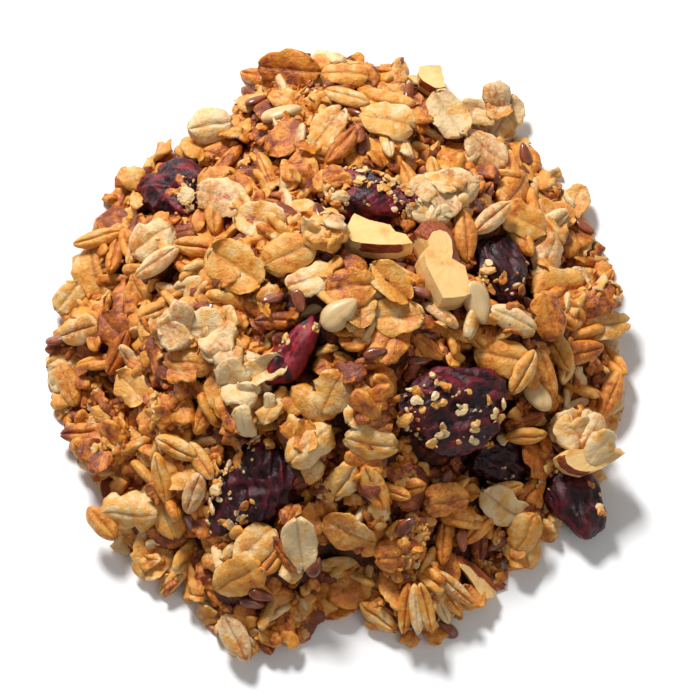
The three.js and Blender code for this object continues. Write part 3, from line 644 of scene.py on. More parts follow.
def loft(members, kind, stations, section):
    """Points and attributes of flat pieces, all at once, in the pour's millimetres."""
    form = dict(zip(TERMS, FORMS[kind]))
    creased = form["crease"] > 0
    count = len(members)
    size = 2 * np.array([member.half_size() for member in members])
    length, width, thick = (size[:, i].reshape(-1, 1, 1) for i in range(3))
    angle = math.pi * np.arange(1, stations + 1) / (stations + 1)
    around = np.array(section[0] + section[1], float)
    shape = (count, stations + 2, len(around))
    u = np.broadcast_to(np.concatenate([-np.cos(angle), [-1.0, 1.0]])[:, None], shape).copy()
    v = np.broadcast_to(around, shape).copy()
    is_over = np.arange(len(around)) < len(section[0])
    ridge = section[0].index(0)

    edge = u[:, :, :1]
    left, right = side_width(form, edge, count), side_width(form, edge, count)
    across = v * np.where(v > 0, left, right) * width / 2
    along = lengthwise(form, u, v, count) * length / 2
    beside = v - waves(u, count, [0.05, 0.03], [2, 5]) * creased
    lobes = np.maximum(0, 1 - np.abs(v) ** 3) ** 0.6 * np.maximum(0, 1 - np.abs(u) ** 5) ** 0.5
    height = faces(form, u, v, beside, is_over, thick / 2 * lobes * form["thin"], count)
    height = bent(form, u, v, height, length, width, count)
    dimple = waves(5 * u + 3 * v, count, [0.03, 0.02], [1.5, 3])
    dimple = dimple * waves(6 * v - 2 * u, count, [1, 0.5], [1, 2.2])
    height = height + thick * 1.1 * dimple * lobes * creased

    toast = waves(2.2 * u + 0.6 * v, count, [0.5, 0.3], [1, 2.3])
    toast = toast + waves(1.5 * v - u, count, [0.5, 0.3], [1.3, 2.9])
    toast = np.clip(toast + 2.2 * (spread(count) ** 1.3) - 0.85, 0, 1) * np.exp(-((np.abs(v) / 0.8) ** 6))
    # A dark line along the crease on the upper face: the crease's own colour, and painted shade in its groove.
    crease_line_and_shade = np.exp(-((beside / 0.07) ** 2)) * np.maximum(0, 1 - u**10) * is_over * creased
    crease_line_and_shade = crease_line_and_shade * (0.25 + 0.75 * spread(count))
    # How near a point is to the piece's edge, where the colour is made paler: painted light through the thin
    # edge.
    rim = np.maximum(np.abs(v) ** 7, np.abs(u) ** 9)
    grain = np.stack([along, across, np.broadcast_to(40 * spread(count), u.shape)], -1)

    def pack(values):
        """One row of points for each piece: the rings, then the two tips."""
        rings = values[:, :stations].reshape((count, -1) + values.shape[3:])
        return np.concatenate([rings, values[:, stations:, ridge]], 1)

    points = placed(members, pack(np.stack([along, across, height], -1)))
    attributes = {}
    for label, values in (("crease_line_and_shade", crease_line_and_shade), ("toast", toast), ("rim", rim), ("grain", grain)):
        attributes[label] = pack(values).reshape((-1,) + values.shape[3:])
    return points, attributes


def flat_pieces(name, members, tones, kind, material, stations=17, section=FINE):
    """One mesh of flat pieces of a kind, each with its own tone."""
    points, attributes = loft(members, kind, stations, section)
    each = points.shape[1]
    attributes["tone"] = np.repeat(tones, each)
    triangles = repeat_triangles(loft_triangles(stations, len(section[0] + section[1])), len(members), each)
    make_object(name, points, triangles, attributes, material, ["granola_heap"])


def icosphere(levels):
    """Points and triangles of a ball of radius 1."""
    mesh = bpy.data.meshes.new("ball")
    builder = bmesh.new()
    bmesh.ops.create_icosphere(builder, subdivisions=levels, radius=1)
    builder.to_mesh(mesh)
    builder.free()
    points = np.array([v.co for v in mesh.vertices])
    triangles = np.array([p.vertices for p in mesh.polygons])
    bpy.data.meshes.remove(mesh)
    return points, triangles


def lumpy(directions, count, strength, speeds):
    """Radii of lumpy balls: sums of sines of the place on each ball, with their own directions."""
    radius = np.ones((count, len(directions)))
    for speed in speeds:
        for _ in range(3):
            axis = rng.standard_normal((count, 3))
            axis /= np.linalg.norm(axis, axis=1, keepdims=True)
            wave = np.sin(speed * axis @ directions.T + 2 * math.pi * rng.random((count, 1)))
            radius += strength * wave / speed**0.7
    return radius


def lumps(name, members, tones, material, levels, strength, speeds, sharp=None):
    """One mesh of lumps, each with its own tone."""
    directions, triangles = icosphere(levels)
    count = len(members)
    radius = lumpy(directions, count, strength, speeds)
    half = np.array([member.half_size() for member in members])
    points = placed(members, directions[None] * radius[:, :, None] * half[:, None, :])
    # Darker where a lump dips in: painted shade in its hollows.
    hollow_painted_shade = np.clip((1 - radius) * 2.5, 0, 1)
    attributes = {"tone": np.repeat(tones, len(directions)), "hollow_painted_shade": hollow_painted_shade.ravel()}
    triangles = repeat_triangles(triangles, count, len(directions))
    make_object(name, points, triangles, attributes, material, ["granola_heap"], sharp)


# ---------------------------------------------------------------- materials


class Look:
    """A node material with one Principled shader."""

    def __init__(self, name, **settings):
        self.material = bpy.data.materials.new(name)
        self.material.use_nodes = True
        self.nodes = self.material.node_tree.nodes
        self.links = self.material.node_tree.links
        self.shader = self.nodes["Principled BSDF"]
        for label, value in settings.items():
            self.shader.inputs[label.replace("_", " ")].default_value = value
        self.place = self.nodes.new("ShaderNodeTexCoord").outputs["Object"]

    def link(self, source, target):
        self.links.new(source, target)

    def attribute(self, label, output="Fac"):
        node = self.nodes.new("ShaderNodeAttribute")
        node.attribute_type = "GEOMETRY"
        node.attribute_name = label
        return node.outputs[output]

    def noise(self, scale, detail=3, rough=0.55, distortion=0.0):
        """Noise in space."""
        return self.noise_over(self.place, scale, detail, rough, distortion)

    def grain(self, detail, rough, stretch):
        """Noise that follows each piece, stretched along it."""
        mapping = self.nodes.new("ShaderNodeMapping")
        mapping.inputs["Scale"].default_value = stretch
        self.link(self.attribute("grain", "Vector"), mapping.inputs["Vector"])
        return self.noise_over(mapping.outputs["Vector"], 1.0, detail, rough, 0.0)

    def noise_over(self, vector, scale, detail, rough, distortion):
        node = self.nodes.new("ShaderNodeTexNoise")
        settings = {"Scale": scale, "Detail": detail, "Roughness": rough, "Distortion": distortion}
        for label, number in settings.items():
            node.inputs[label].default_value = number
        self.link(vector, node.inputs["Vector"])
        return node.outputs["Fac"]

    def math(self, operation, a, b, clamp=False):
        node = self.nodes.new("ShaderNodeMath")
        node.operation = operation
        node.use_clamp = clamp
        for socket, value in zip(node.inputs, (a, b)):
            if isinstance(value, (int, float)):
                socket.default_value = value
            else:
                self.link(value, socket)
        return node.outputs[0]

    def span(self, value, to_low=0.0, to_high=1.0, low=0.3, high=0.7):
        """A value brought from one span, by default the one that noise fills, to another."""
        node = self.nodes.new("ShaderNodeMapRange")
        for label, number in zip(("From Min", "From Max", "To Min", "To Max"), (low, high, to_low, to_high)):
            node.inputs[label].default_value = number
        self.link(value, node.inputs["Value"])
        return node.outputs["Result"]

    def vary(self, tone, noise, amount, clamp=False, shift=0.0, low=0.3, high=0.7):
        """The tone with a noise added to it."""
        return self.math("ADD", tone, self.span(noise, shift - amount, shift + amount, low, high), clamp)

    def ramp(self, value, stops):
        """Colours along a value, from stops that each have a place and a colour."""
        stops = list(stops)
        node = self.nodes.new("ShaderNodeValToRGB")
        elements = node.color_ramp.elements
        while len(elements) < len(stops):
            elements.new(0.5)
        for element, (place, colour) in zip(elements, stops):
            element.position = place
            element.color = (*colour, 1)
        self.link(value, node.inputs["Fac"])
        return node.outputs["Color"]

    def mix(self, share, a, b):
        node = self.nodes.new("ShaderNodeMix")
        node.data_type = "RGBA"
        self.link(share, node.inputs[0])
        for socket, value in ((node.inputs[6], a), (node.inputs[7], b)):
            if isinstance(value, tuple):
                socket.default_value = (*value, 1)
            else:
                self.link(value, socket)
        return node.outputs[2]

    def stain(self, colour, where, amount, other):
        """The colour, with up to that amount of another one where a value is high."""
        return self.mix(self.math("MULTIPLY", where, amount), colour, other)

    def bumps(self, *layers):
        """Bumps over one another, each with its heights, its depth in metres and its strength."""
        normal = None
        for height, depth, strength in layers:
            node = self.nodes.new("ShaderNodeBump")
            node.inputs["Distance"].default_value = depth
            node.inputs["Strength"].default_value = strength
            self.link(height, node.inputs["Height"])
            if normal is not None:
                self.link(normal, node.inputs["Normal"])
            normal = node.outputs["Normal"]
        return normal

    def finish(self, colour, roughness=None, normal=None):
        self.link(colour, self.shader.inputs["Base Color"])
        if roughness is not None:
            self.link(roughness, self.shader.inputs["Roughness"])
        if normal is not None:
            self.link(normal, self.shader.inputs["Normal"])
            self.link(normal, self.shader.inputs["Coat Normal"])
        return self.material


# Colours are linear red, green and blue.
CREAM = (0.75, 0.54, 0.28)
WHEAT = (0.72, 0.375, 0.082)
GOLD = (0.70, 0.265, 0.026)
AMBER = (0.52, 0.135, 0.010)
TOAST = (0.19, 0.034, 0.008)
UMBER = (0.025, 0.005, 0.003)
SEED_COLOURS = ((0.12, 0.026, 0.010), (0.32, 0.085, 0.034))
KERNEL_COLOURS = ((0.66, 0.48, 0.25), (0.62, 0.41, 0.18), (0.48, 0.26, 0.08))
BERRY_COLOURS = ((0.010, 0.002, 0.003), (0.045, 0.003, 0.007), (0.16, 0.006, 0.014), (0.28, 0.010, 0.020))
FLESH_COLOURS = ((0.84, 0.58, 0.26), (0.82, 0.51, 0.19), (0.66, 0.30, 0.08))
SKIN_COLOURS = ((0.11, 0.020, 0.008), (0.26, 0.050, 0.016), (0.42, 0.12, 0.03))


def oat_look():
    look = Look(
        "baked_oat", Subsurface_Weight=0.1, Subsurface_Scale=0.0007, Subsurface_Radius=(1.0, 0.5, 0.2),
        Specular_IOR_Level=0.4, Coat_Weight=0.12, Coat_Roughness=0.25,
    )
    fibres = look.grain(4, 0.6, (0.5, 6.0, 1.0))
    patches = look.noise(300, 4, 0.6, distortion=0.6)
    mottle = look.noise(900, 4, 0.65)
    flecks = look.noise(2000, 3, 0.7)
    tone = look.vary(look.attribute("tone"), patches, 0.3, low=0.32, high=0.68)
    tone = look.vary(look.vary(tone, mottle, 0.2), fibres, 0.06)
    # Paler towards each piece's rim: painted light through the thin edge.
    tone = look.math("SUBTRACT", tone, look.math("MULTIPLY", look.attribute("rim"), 0.08), clamp=True)
    colour = look.ramp(tone, [(0, CREAM), (0.3, WHEAT), (0.58, GOLD), (0.82, AMBER), (1, TOAST)])
    toast = look.attribute("toast")
    speckled = look.math("MULTIPLY", toast, look.span(mottle, low=0.36, high=0.6))
    flecked = look.math("MULTIPLY", toast, look.span(flecks, low=0.54, high=0.7))
    colour = look.stain(look.stain(colour, speckled, 0.85, AMBER), flecked, 0.7, TOAST)
    # The crease's dark line: its own colour, and painted shade in the groove.
    colour = look.stain(colour, look.attribute("crease_line_and_shade"), 0.6, TOAST)
    normal = look.bumps((fibres, 0.00014, 0.7), (mottle, 0.0004, 0.85), (flecks, 0.00014, 0.8))
    return look.finish(colour, look.span(patches, 0.28, 0.55), normal)


def crumb_look(name, shift):
    look = Look(
        name, Roughness=0.5, Subsurface_Weight=0.1, Subsurface_Scale=0.0006,
        Coat_Weight=0.15, Coat_Roughness=0.25,
    )
    patches = look.noise(700, 3, 0.6)
    flecks = look.noise(2200, 3, 0.7)
    tone = look.vary(look.attribute("tone"), patches, 0.25, shift=shift)
    tone = look.vary(tone, flecks, 0.12, clamp=True)
    colour = look.ramp(tone, [(0, CREAM), (0.25, WHEAT), (0.5, GOLD), (0.75, AMBER), (1, TOAST)])
    # Toasted brown in the lumps' hollows: painted shade.
    colour = look.stain(colour, look.attribute("hollow_painted_shade"), 0.6, TOAST)
    normal = look.bumps((patches, 0.0005, 0.8), (flecks, 0.0002, 0.8))
    return look.finish(colour, look.span(patches, 0.3, 0.6), normal)


def seed_look():
    look = Look("flax_seed", Roughness=0.28, Coat_Weight=0.4, Coat_Roughness=0.15)
    fine = look.noise(1800, 3, 0.6)
    colour = look.ramp(look.span(look.noise(500)), zip((0, 1), SEED_COLOURS))
    return look.finish(colour, look.span(fine, 0.2, 0.4), look.bumps((fine, 0.00003, 0.5)))


def kernel_look():
    look = Look("sunflower_kernel", Roughness=0.42, Subsurface_Weight=0.15, Subsurface_Scale=0.0008)
    fibres = look.grain(3, 0.6, (0.3, 3.0, 1.0))
    colour = look.ramp(look.span(look.noise(450), high=0.75), zip((0, 0.6, 1), KERNEL_COLOURS))
    return look.finish(colour, look.span(fibres, 0.32, 0.5), look.bumps((fibres, 0.00006, 0.5)))


def core_look():
    look = Look("packed_crumbs_and_painted_shade", Roughness=0.6, Coat_Weight=0.1, Coat_Roughness=0.3)
    # The core shows only in the gaps between pieces: its browns down to near black are painted shade over the
    # crumbs' own toasted colour.
    flecks = look.noise(1300, 4, 0.7)
    tone = look.vary(look.span(look.noise(260, 4, 0.65), 0.4, 1.1), flecks, 0.35, clamp=True)
    colour = look.ramp(tone, [(0, GOLD), (0.25, AMBER), (0.55, TOAST), (1, UMBER)])
    return look.finish(colour, look.span(flecks, 0.4, 0.7), look.bumps((flecks, 0.0009, 1.0)))


def berry_look():
    look = Look("dried_cranberry", Specular_IOR_Level=0.4, Subsurface_Weight=0.05, Subsurface_Scale=0.0006)
    patches = look.noise(300, 4, 0.65, distortion=0.5)
    fine = look.noise(1000, 5, 0.72)
    # Near black in the troughs between the wrinkles: painted shade.
    hollow_painted_shade = look.math("MULTIPLY", look.attribute("hollow_painted_shade"), 0.45)
    tone = look.math("SUBTRACT", look.span(patches, 0.12, low=0.34), hollow_painted_shade, clamp=True)
    tone = look.vary(look.math("MULTIPLY", tone, look.attribute("tone")), fine, 0.15, clamp=True)
    colour = look.ramp(tone, zip((0, 0.3, 0.65, 1), BERRY_COLOURS))
    return look.finish(colour, look.span(patches, 0.22, 0.42), look.bumps((fine, 0.0003, 0.9)))


def nut_look():
    look = Look("chopped_almond", Specular_IOR_Level=0.3, Subsurface_Weight=0.12, Subsurface_Scale=0.001)
    streaks = look.grain(4, 0.65, (0.25, 2.2, 2.2))
    fine = look.noise(1500, 3, 0.6)
    patches = look.span(look.noise(300, 3, 0.6), low=0.25, high=0.75)
    flesh = look.ramp(patches, zip((0, 0.6, 1), FLESH_COLOURS))
    skin = look.ramp(look.span(streaks), zip((0, 0.5, 1), SKIN_COLOURS))
    covered = look.span(look.vary(look.attribute("skin"), fine, 0.12), low=0.42, high=0.58)
    normal = look.bumps((streaks, 0.00012, 0.5), (fine, 0.00008, 0.5))
    return look.finish(look.mix(covered, flesh, skin), look.span(fine, 0.38, 0.6), normal)


OAT, NUB, CRUMB = oat_look(), crumb_look("baked_nub", 0.1), crumb_look("loose_crumb", 0.0)
SEED_LOOK, KERNEL, CORE, BERRY, NUT = seed_look(), kernel_look(), core_look(), berry_look(), nut_look()

# ---------------------------------------------------------------- the core

CORE_SPOKES = 260
CORE_RINGS = 84
CORE_SINK = 1.6
CORE_REACH = 1.8
CORE_EDGE = 0.93
CORE_FOOT = 0.8
# How many cells each of the two roughnesses of the core is smoothed over, and how high it is.
CORE_ROUGHNESSES = ((1.1, 0.42), (3.0, 0.4))


def blurred(field, radius):
    """A map smoothed by a bell of that radius, in cells."""
    width = int(math.ceil(2.5 * radius))
    bell = np.exp(-0.5 * (np.arange(-width, width + 1) / radius) ** 2)
    bell /= bell.sum()
    padded = np.pad(field, width, mode="edge")
    rows = sum(weight * padded[i : i + field.shape[0], :] for i, weight in enumerate(bell))
    return sum(weight * rows[:, i : i + field.shape[1]] for i, weight in enumerate(bell))


def sampled(field, x, y):
    """A map's value at places between its cells."""
    fx, fy = (x + MAP_REACH) / CELL, (y + MAP_REACH) / CELL
    i, j = np.clip(fx.astype(int), 0, SIDE - 2), np.clip(fy.astype(int), 0, SIDE - 2)
    u, v = fx - i, fy - j
    low = field[j, i] * (1 - u) + field[j, i + 1] * u
    high = field[j + 1, i] * (1 - u) + field[j + 1, i + 1] * u
    return low * (1 - v) + high * v


def core():
    """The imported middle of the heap: makes its mesh, and returns its surface's points by ring and spoke."""
    heights = blurred(bed.reshape(SIDE, SIDE), CORE_REACH / CELL / 2)
    rough = 0
    for blur, height in CORE_ROUGHNESSES:
        bumps = blurred(rng.standard_normal((SIDE, SIDE)), blur)
        rough = rough + height * bumps / bumps.std()
    turn = 2 * math.pi * np.arange(CORE_SPOKES) / CORE_SPOKES
    share = (np.arange(1, CORE_RINGS + 1) / CORE_RINGS)[:, None]
    r = CORE_EDGE * foot_radius(np.cos(turn), np.sin(turn))[None, :] * share
    x, y = r * np.cos(turn), r * np.sin(turn)
    slope_x, slope_y = dome_slopes(x, y)
    z = sampled(heights, x, y) - CORE_SINK * np.sqrt(1 + slope_x**2 + slope_y**2) + sampled(rough, x, y)
    z = np.maximum(CORE_FOOT, z)
    z[-1] = CORE_FOOT
    surface = np.stack([x, y, z], -1)
    foot = np.stack([x[-1], y[-1], np.zeros(CORE_SPOKES)], 1)
    middle = np.array([[0, 0, float(heights[SIDE // 2, SIDE // 2]) - CORE_SINK], [0, 0, 0]])
    k = np.arange(CORE_SPOKES)
    after = (k + 1) % CORE_SPOKES
    last = CORE_RINGS * CORE_SPOKES
    crown = last + CORE_SPOKES
    rows = [np.stack([np.full(CORE_SPOKES, crown), k, after], 1)]
    for a in range(0, last, CORE_SPOKES):
        rows.append(np.stack([a + k, a + CORE_SPOKES + k, a + CORE_SPOKES + after], 1))
        rows.append(np.stack([a + k, a + CORE_SPOKES + after, a + after], 1))
    rows.append(np.stack([np.full(CORE_SPOKES, crown + 1), last + after, last + k], 1))
    points = np.concatenate([surface.reshape(-1, 3), foot, middle])
    make_object("heap_core", points, np.concatenate(rows), {}, CORE, ["granola_heap"])
    return surface


core_surface = core()

# ---------------------------------------------------------------- oats, nubs, seeds and kernels

SHOWN_PIECES = 174  # poured pieces that the solids have too
RIM_WEIGHT = 1.2  # how much more a piece at the rim counts among those that show
MOST_ROLL, MOST_TIP = math.radians(38), math.radians(16)
ROLL_LIFT = 0.25  # the share of its width that a piece on edge is lifted by
DEEP_SYRUP_AND_SHADE = 0.65  # how much darker what lies deep in the heap is made: the syrup there, and painted shade
DEEP_FROM, DEEP_OVER = 0.5, 4  # the depth where that starts, and what it takes to be full

cells_seen = np.bincount(owner[owner >= 0], minlength=len(pieces))
shares = np.array([math.hypot(p.x, p.y) / float(foot_radius(p.x, p.y)) for p in pieces])
weights = (1 + RIM_WEIGHT * shares**3) * cells_seen
weights[: len(fruits)] = 0
weights[first_landmark:] = 0
in_solids = set(np.argsort(-weights)[:SHOWN_PIECES]) | set(range(first_landmark, len(pieces)))


def turned(vector, axis, angle):
    """A vector turned about an axis at right angles to it."""
    return vector * math.cos(angle) + np.cross(axis, vector) * math.sin(angle)


# The pieces that the solids leave out lie more loosely: rolled about their length, and tipped.
loose_draws = np.random.default_rng(SEED + 3)
for number, piece in enumerate(pieces):
    if number < len(fruits) or number in in_solids or piece.kind == "nub":
        continue
    roll = MOST_ROLL * (2 * loose_draws.random() - 1)
    tip = MOST_TIP * (2 * loose_draws.random() - 1)
    piece.out, piece.across = turned(piece.out, piece.along, roll), turned(piece.across, piece.along, roll)
    piece.out, piece.along = turned(piece.out, piece.across, tip), turned(piece.along, piece.across, tip)
    piece.z += ROLL_LIFT * piece.width * abs(math.sin(roll))

by_kind = {kind: [] for kind in KINDS}
for number, piece in enumerate(pieces):
    if number >= len(fruits) and cells_seen[number]:
        by_kind[piece.kind].append(piece)

tone_draws = np.random.default_rng(SEED + 1)


def tones_for(kind, middle, spread_by):
    """How far each piece of a kind is baked: as laid, or by chance and darker by how deep it lies, for syrup
    and painted shade.
    """
    members = by_kind[kind]
    tones = middle + spread_by * tone_draws.standard_normal(len(members))
    depths = np.array([float(skin_height(m.x, m.y)) - m.z for m in members])
    tones = tones + DEEP_SYRUP_AND_SHADE * np.clip((depths - DEEP_FROM) / DEEP_OVER, 0, 1)
    laid = [tone if member.baked is None else member.baked for member, tone in zip(members, tones)]
    return np.clip(laid, 0, 1)


flake_tones = tones_for("flake", 0.4, 0.22)
for name, low, high in (("pale", -1, 0.24), ("golden", 0.24, 0.44), ("toasted", 0.44, 2)):
    chosen = [i for i, tone in enumerate(flake_tones) if low <= tone < high]
    members = [by_kind["flake"][i] for i in chosen]
    flat_pieces(f"oat_flakes_{name}", members, flake_tones[chosen], "flake", OAT)
flat_pieces("oat_groats", by_kind["groat"], tones_for("groat", 0.44, 0.2), "groat", OAT)
flat_pieces("oat_shards", by_kind["shard"], tones_for("shard", 0.52, 0.24), "shard", OAT, 9, PLAIN)
for name, kind, look in (("flax_seeds", "flax", SEED_LOOK), ("sunflower_kernels", "kernel", KERNEL)):
    flat_pieces(name, by_kind[kind], np.zeros(len(by_kind[kind])), kind, look, 13, PLAIN)
lumps("baked_nubs", by_kind["nub"], tones_for("nub", 0.5, 0.15), NUB, 4, 0.22, (3, 6, 12))

# ---------------------------------------------------------------- clusters

CLUSTER_RISE = 2.6  # how far the middles of the highest oats lie over what carries the cluster
CLUSTER_SPREAD = 1.8  # the most that they lie from its middle, as a share of its reach
cluster_draws = np.random.default_rng(SEED + 5)
carrying = top.copy()
clustered, cluster_tones = [], []
for middle, reach, count, baked in CLUSTERS:
    for _ in range(count):
        away = np.clip(cluster_draws.standard_normal(2), -CLUSTER_SPREAD, CLUSTER_SPREAD)
        length = cluster_draws.uniform(3.6, 7.2)
        size = (length, length * cluster_draws.uniform(0.55, 0.9), cluster_draws.uniform(0.8, 1.3))
        ceiling = carrying + CLUSTER_RISE * cluster_draws.random()
        heading, lean = cluster_draws.uniform(0, 360), cluster_draws.uniform(-25, 45)
        lay("shard", np.array(middle) + np.array(reach) * away, size, heading, lean, ceiling)
        clustered.append(pieces[-1])
        cluster_tones.append(np.clip(baked + 0.1 * cluster_draws.standard_normal(), 0, 1))
flat_pieces("clustered_oats", clustered, cluster_tones, "shard", OAT, 9, PLAIN)

# ---------------------------------------------------------------- dried cranberries

FRUIT_SEED = 977  # the step between the seeds of the berries' and nuts' solids
FINE_SEED = SEED + 50  # the seed of the first one's finer relief
BERRY_AROUND, BERRY_RINGS = 120, 60
# How deep each berry's wrinkles are in millimetres, their pitch, and how red it is.
BERRY_LOOKS = {
    "cranberry_1": (0.9, 3.6, 1.1),
    "cranberry_2": (0.6, 4.6, 1.4),
    "cranberry_3": (0.6, 2.6, 0.55),
    "cranberry_4": (0.12, 5.0, 1.8),
    "cranberry_5": (0.6, 3.0, 0.6),
    "cranberry_6": (1.0, 3.8, 0.85),
    "cranberry_7": (0.9, 3.4, 0.6),
    "cranberry_8": (0.5, 4.0, 0.65),
}


def ball(around, rings):
    """Directions and triangles of a ball whose poles are on its length."""
    angle = math.pi * np.arange(1, rings + 1) / (rings + 1)
    turn = 2 * math.pi * np.arange(around) / around
    x = np.repeat(-np.cos(angle), around)
    y = np.outer(np.sin(angle), np.cos(turn)).ravel()
    z = np.outer(np.sin(angle), -np.sin(turn)).ravel()
    directions = np.concatenate([np.stack([x, y, z], 1), [[-1, 0, 0], [1, 0, 0]]])
    return directions, loft_triangles(rings, around)


def cranberry_form(d, piece, number):
    """The solid's form of a dried cranberry: flattened, with a wavy outline and a fold along its length."""
    draw = seeded(SEED + FRUIT_SEED * number)
    a, b, c = (2 * math.pi * draw() for _ in range(3))
    turn = np.arctan2(d[:, 1], d[:, 0])
    wave = 1 + 0.08 * np.sin(3 * turn + a) + 0.05 * np.sin(5 * turn + b)
    fold = np.exp(-(((d[:, 1] - 0.2 * np.sin(2 * d[:, 0] + c)) / 0.3) ** 2))
    height = d[:, 2] * (1 - 0.3 * fold * np.maximum(0, d[:, 2])) * (1 + 0.08 * np.sin(6 * d[:, 0] + b))
    return np.stack([d[:, 0] * wave, d[:, 1] * wave, height], 1) * piece.half_size()


def wrinkles(local, draws, pitch, count):
    """Ridges that wander over a surface: 0 in the troughs and 1 on the ridges."""
    total = np.zeros(len(local))
    for _ in range(count):
        axis, bend = draws.standard_normal(3), draws.standard_normal(3)
        swing = np.sin(local @ unit(bend) * 2 * math.pi / (2.6 * pitch) + 6.3 * draws.random())
        wave = np.sin(local @ unit(axis) * 2 * math.pi / pitch + 1.4 * swing + 6.3 * draws.random())
        total += 1 - np.abs(wave)
    return total / count


for name, (depth, pitch, red) in BERRY_LOOKS.items():
    piece, number = fruits[name], fruit_numbers[name]
    draws = np.random.default_rng(FINE_SEED + number)
    directions, triangles = ball(BERRY_AROUND, BERRY_RINGS)
    local = cranberry_form(directions, piece, number)
    ridge = 0.7 * wrinkles(local, draws, 1.5 * pitch, 3) + 0.3 * wrinkles(local, draws, 0.5 * pitch, 4)
    outward = directions / piece.half_size()
    outward /= np.linalg.norm(outward, axis=1, keepdims=True)
    local = local + outward * (depth * (ridge - 0.5) * 2)[:, None]
    # The troughs between the wrinkles are marked for painted shade.
    attributes = {"hollow_painted_shade": np.clip((0.45 - ridge) * 3, 0, 1), "tone": np.full(len(local), red)}
    make_object(name + "_fruit", piece.in_place(local), triangles, attributes, BERRY, [name])

# ---------------------------------------------------------------- chopped almonds

# How wide each of the solid's levels is and how high, as shares of the outline and of half the thickness.
NUT_LEVELS = ((0.8, -1), (1, -0.55), (1, 0.35), (0.95, 1))
EDGE_STEPS = 9  # points between two corners of an outline
WALL_STEPS = 6  # rings between two levels
FACE_STEPS = 9  # rings from an edge in to the middle of a face
THIN_BAND = 1.0  # a nut whose skin slopes less wide than this shows only an edge of it
EDGE_SKIN = 0.8  # how much skin shows on the upper face's edge
FACE_LEVEL = 0.97  # how high the upper face's middle is, as a share of half the thickness
NUT_RELIEF = 0.12


def almond_levels(name, piece, number):
    """The solid's rings of corners from its underside to its top."""
    outline, skin, band = OUTLINES[name]
    draw = seeded(SEED + FRUIT_SEED * number)
    turn = np.array([math.cos(piece.heading), math.sin(piece.heading)])
    shift = (np.array(outline, float) - NUTS[name][0]) * np.array([1, -1]) * MM_PER_PIXEL
    corners = np.stack([shift @ turn, shift @ np.array([-turn[1], turn[0]])], 1)
    levels = []
    for scale, rise in NUT_LEVELS:
        height = rise * piece.thickness / 2
        ring = []
        for i, (u, v) in enumerate(corners):
            sloping = rise == 1 and skin[0] <= i <= skin[1]
            inset = 1 - band / math.hypot(u, v) if sloping else 1
            uneven = 1 if sloping else 0.94 + 0.06 * draw()
            ring.append((u * scale * inset, v * scale * inset, height * uneven))
        levels.append(np.array(ring))
    return levels


def almond_mesh(name, piece, number):
    """A chopped almond on its solid's levels: its points and triangles, and how much skin is at each point."""
    _, skin, band = OUTLINES[name]
    levels = almond_levels(name, piece, number)
    corners = len(levels[0])
    place = np.arange(corners * EDGE_STEPS) / EDGE_STEPS
    fine = []
    for ring in levels:
        closed = np.concatenate([ring, ring[:1]])
        fine.append(np.stack([np.interp(place, np.arange(corners + 1), closed[:, k]) for k in range(3)], 1))
    half = piece.thickness / 2
    low, face = np.array([0, 0, -half]), FACE_LEVEL * half

    rings = [low + (fine[0] - low) * k / FACE_STEPS for k in range(1, FACE_STEPS)]
    wall = [0.0] * len(rings)
    for lower, upper in zip(fine, fine[1:]):
        rings += [lower + (upper - lower) * k / WALL_STEPS for k in range(WALL_STEPS)]
        wall += [1.0 if band > THIN_BAND or upper is fine[-1] else 0.0] * WALL_STEPS
    rings.append(fine[-1])
    wall.append(EDGE_SKIN)
    for k in range(FACE_STEPS - 1, 0, -1):
        ring = fine[-1] * k / FACE_STEPS
        ring[:, 2] = face + (fine[-1][:, 2] - face) * (k / FACE_STEPS) ** 4
        rings.append(ring)
        wall.append(0.0)
    points = np.concatenate([*rings, [low, [0, 0, face]]])

    from_skin = np.minimum(np.abs(place - skin[0]), np.abs(place - skin[1]))
    on_side = np.where((place >= skin[0]) & (place <= skin[1]), 1.0, np.clip(1 - 1.5 * from_skin, 0, 1))
    covered = np.concatenate([np.outer(wall, on_side).ravel(), [0, 0]])
    draws = np.random.default_rng(FINE_SEED + number)
    rough = wrinkles(points, draws, 2.6, 3) + 0.6 * wrinkles(points, draws, 0.9, 3) - 1.0
    outward = points / np.linalg.norm(points, axis=1, keepdims=True)
    points = points + outward * (NUT_RELIEF * rough)[:, None]
    return points, loft_triangles(len(rings), len(place)), covered


for name in NUTS:
    piece = fruits[name]
    local, triangles, covered = almond_mesh(name, piece, fruit_numbers[name])
    attributes = {"skin": covered, "grain": local}
    points = piece.in_place(local)
    make_object(name + "_chopped", points, triangles, attributes, NUT, [name], sharp=38)

# ---------------------------------------------------------------- loose crumbs and bits

LOOSE_CRUMBS = 780
OAT_BITS = 500
RIM_CRUMBS = 450
RIM_BITS = 380
CORE_BITS = 260
STANDING_OATS = 170
GAP_DEPTH = 0.7  # how far a gap lies under what is round it
GAP_REACH = 2.6  # how far round it that is
GAP_DEEP = 2.5  # how much deeper a gap is where its bits are darkest
GAP_INSET = 3  # how far inside the foot's edge the bits in the gaps stay
STANDING_INSET = 6  # how far the standing oats do
CLEAR_CELLS = 6  # how many cells they keep off the berries and nuts
RIM_BAND = (0.88, 0.985)  # the shares of the foot's radius that the rim's bits lie between
RIM_RISE = 3.2  # how high they are heaped at the band's inner edge
BARE_DEPTH = 3.5  # the core is bare where less than this lies over it
CORE_BAND = (0.35, 0.9)  # the shares of the foot's radius that the bits on the core lie between
# how deep the bits on the core count as lying, which darkens them: syrup and painted shade
CORE_DEEP = 0.4

crumb_draws = np.random.default_rng(SEED + 7)
top_map = top.reshape(SIDE, SIDE)
fruit_map = is_fruit.reshape(SIDE, SIDE)
gap_map = top_map - blurred(top_map, GAP_REACH / CELL)


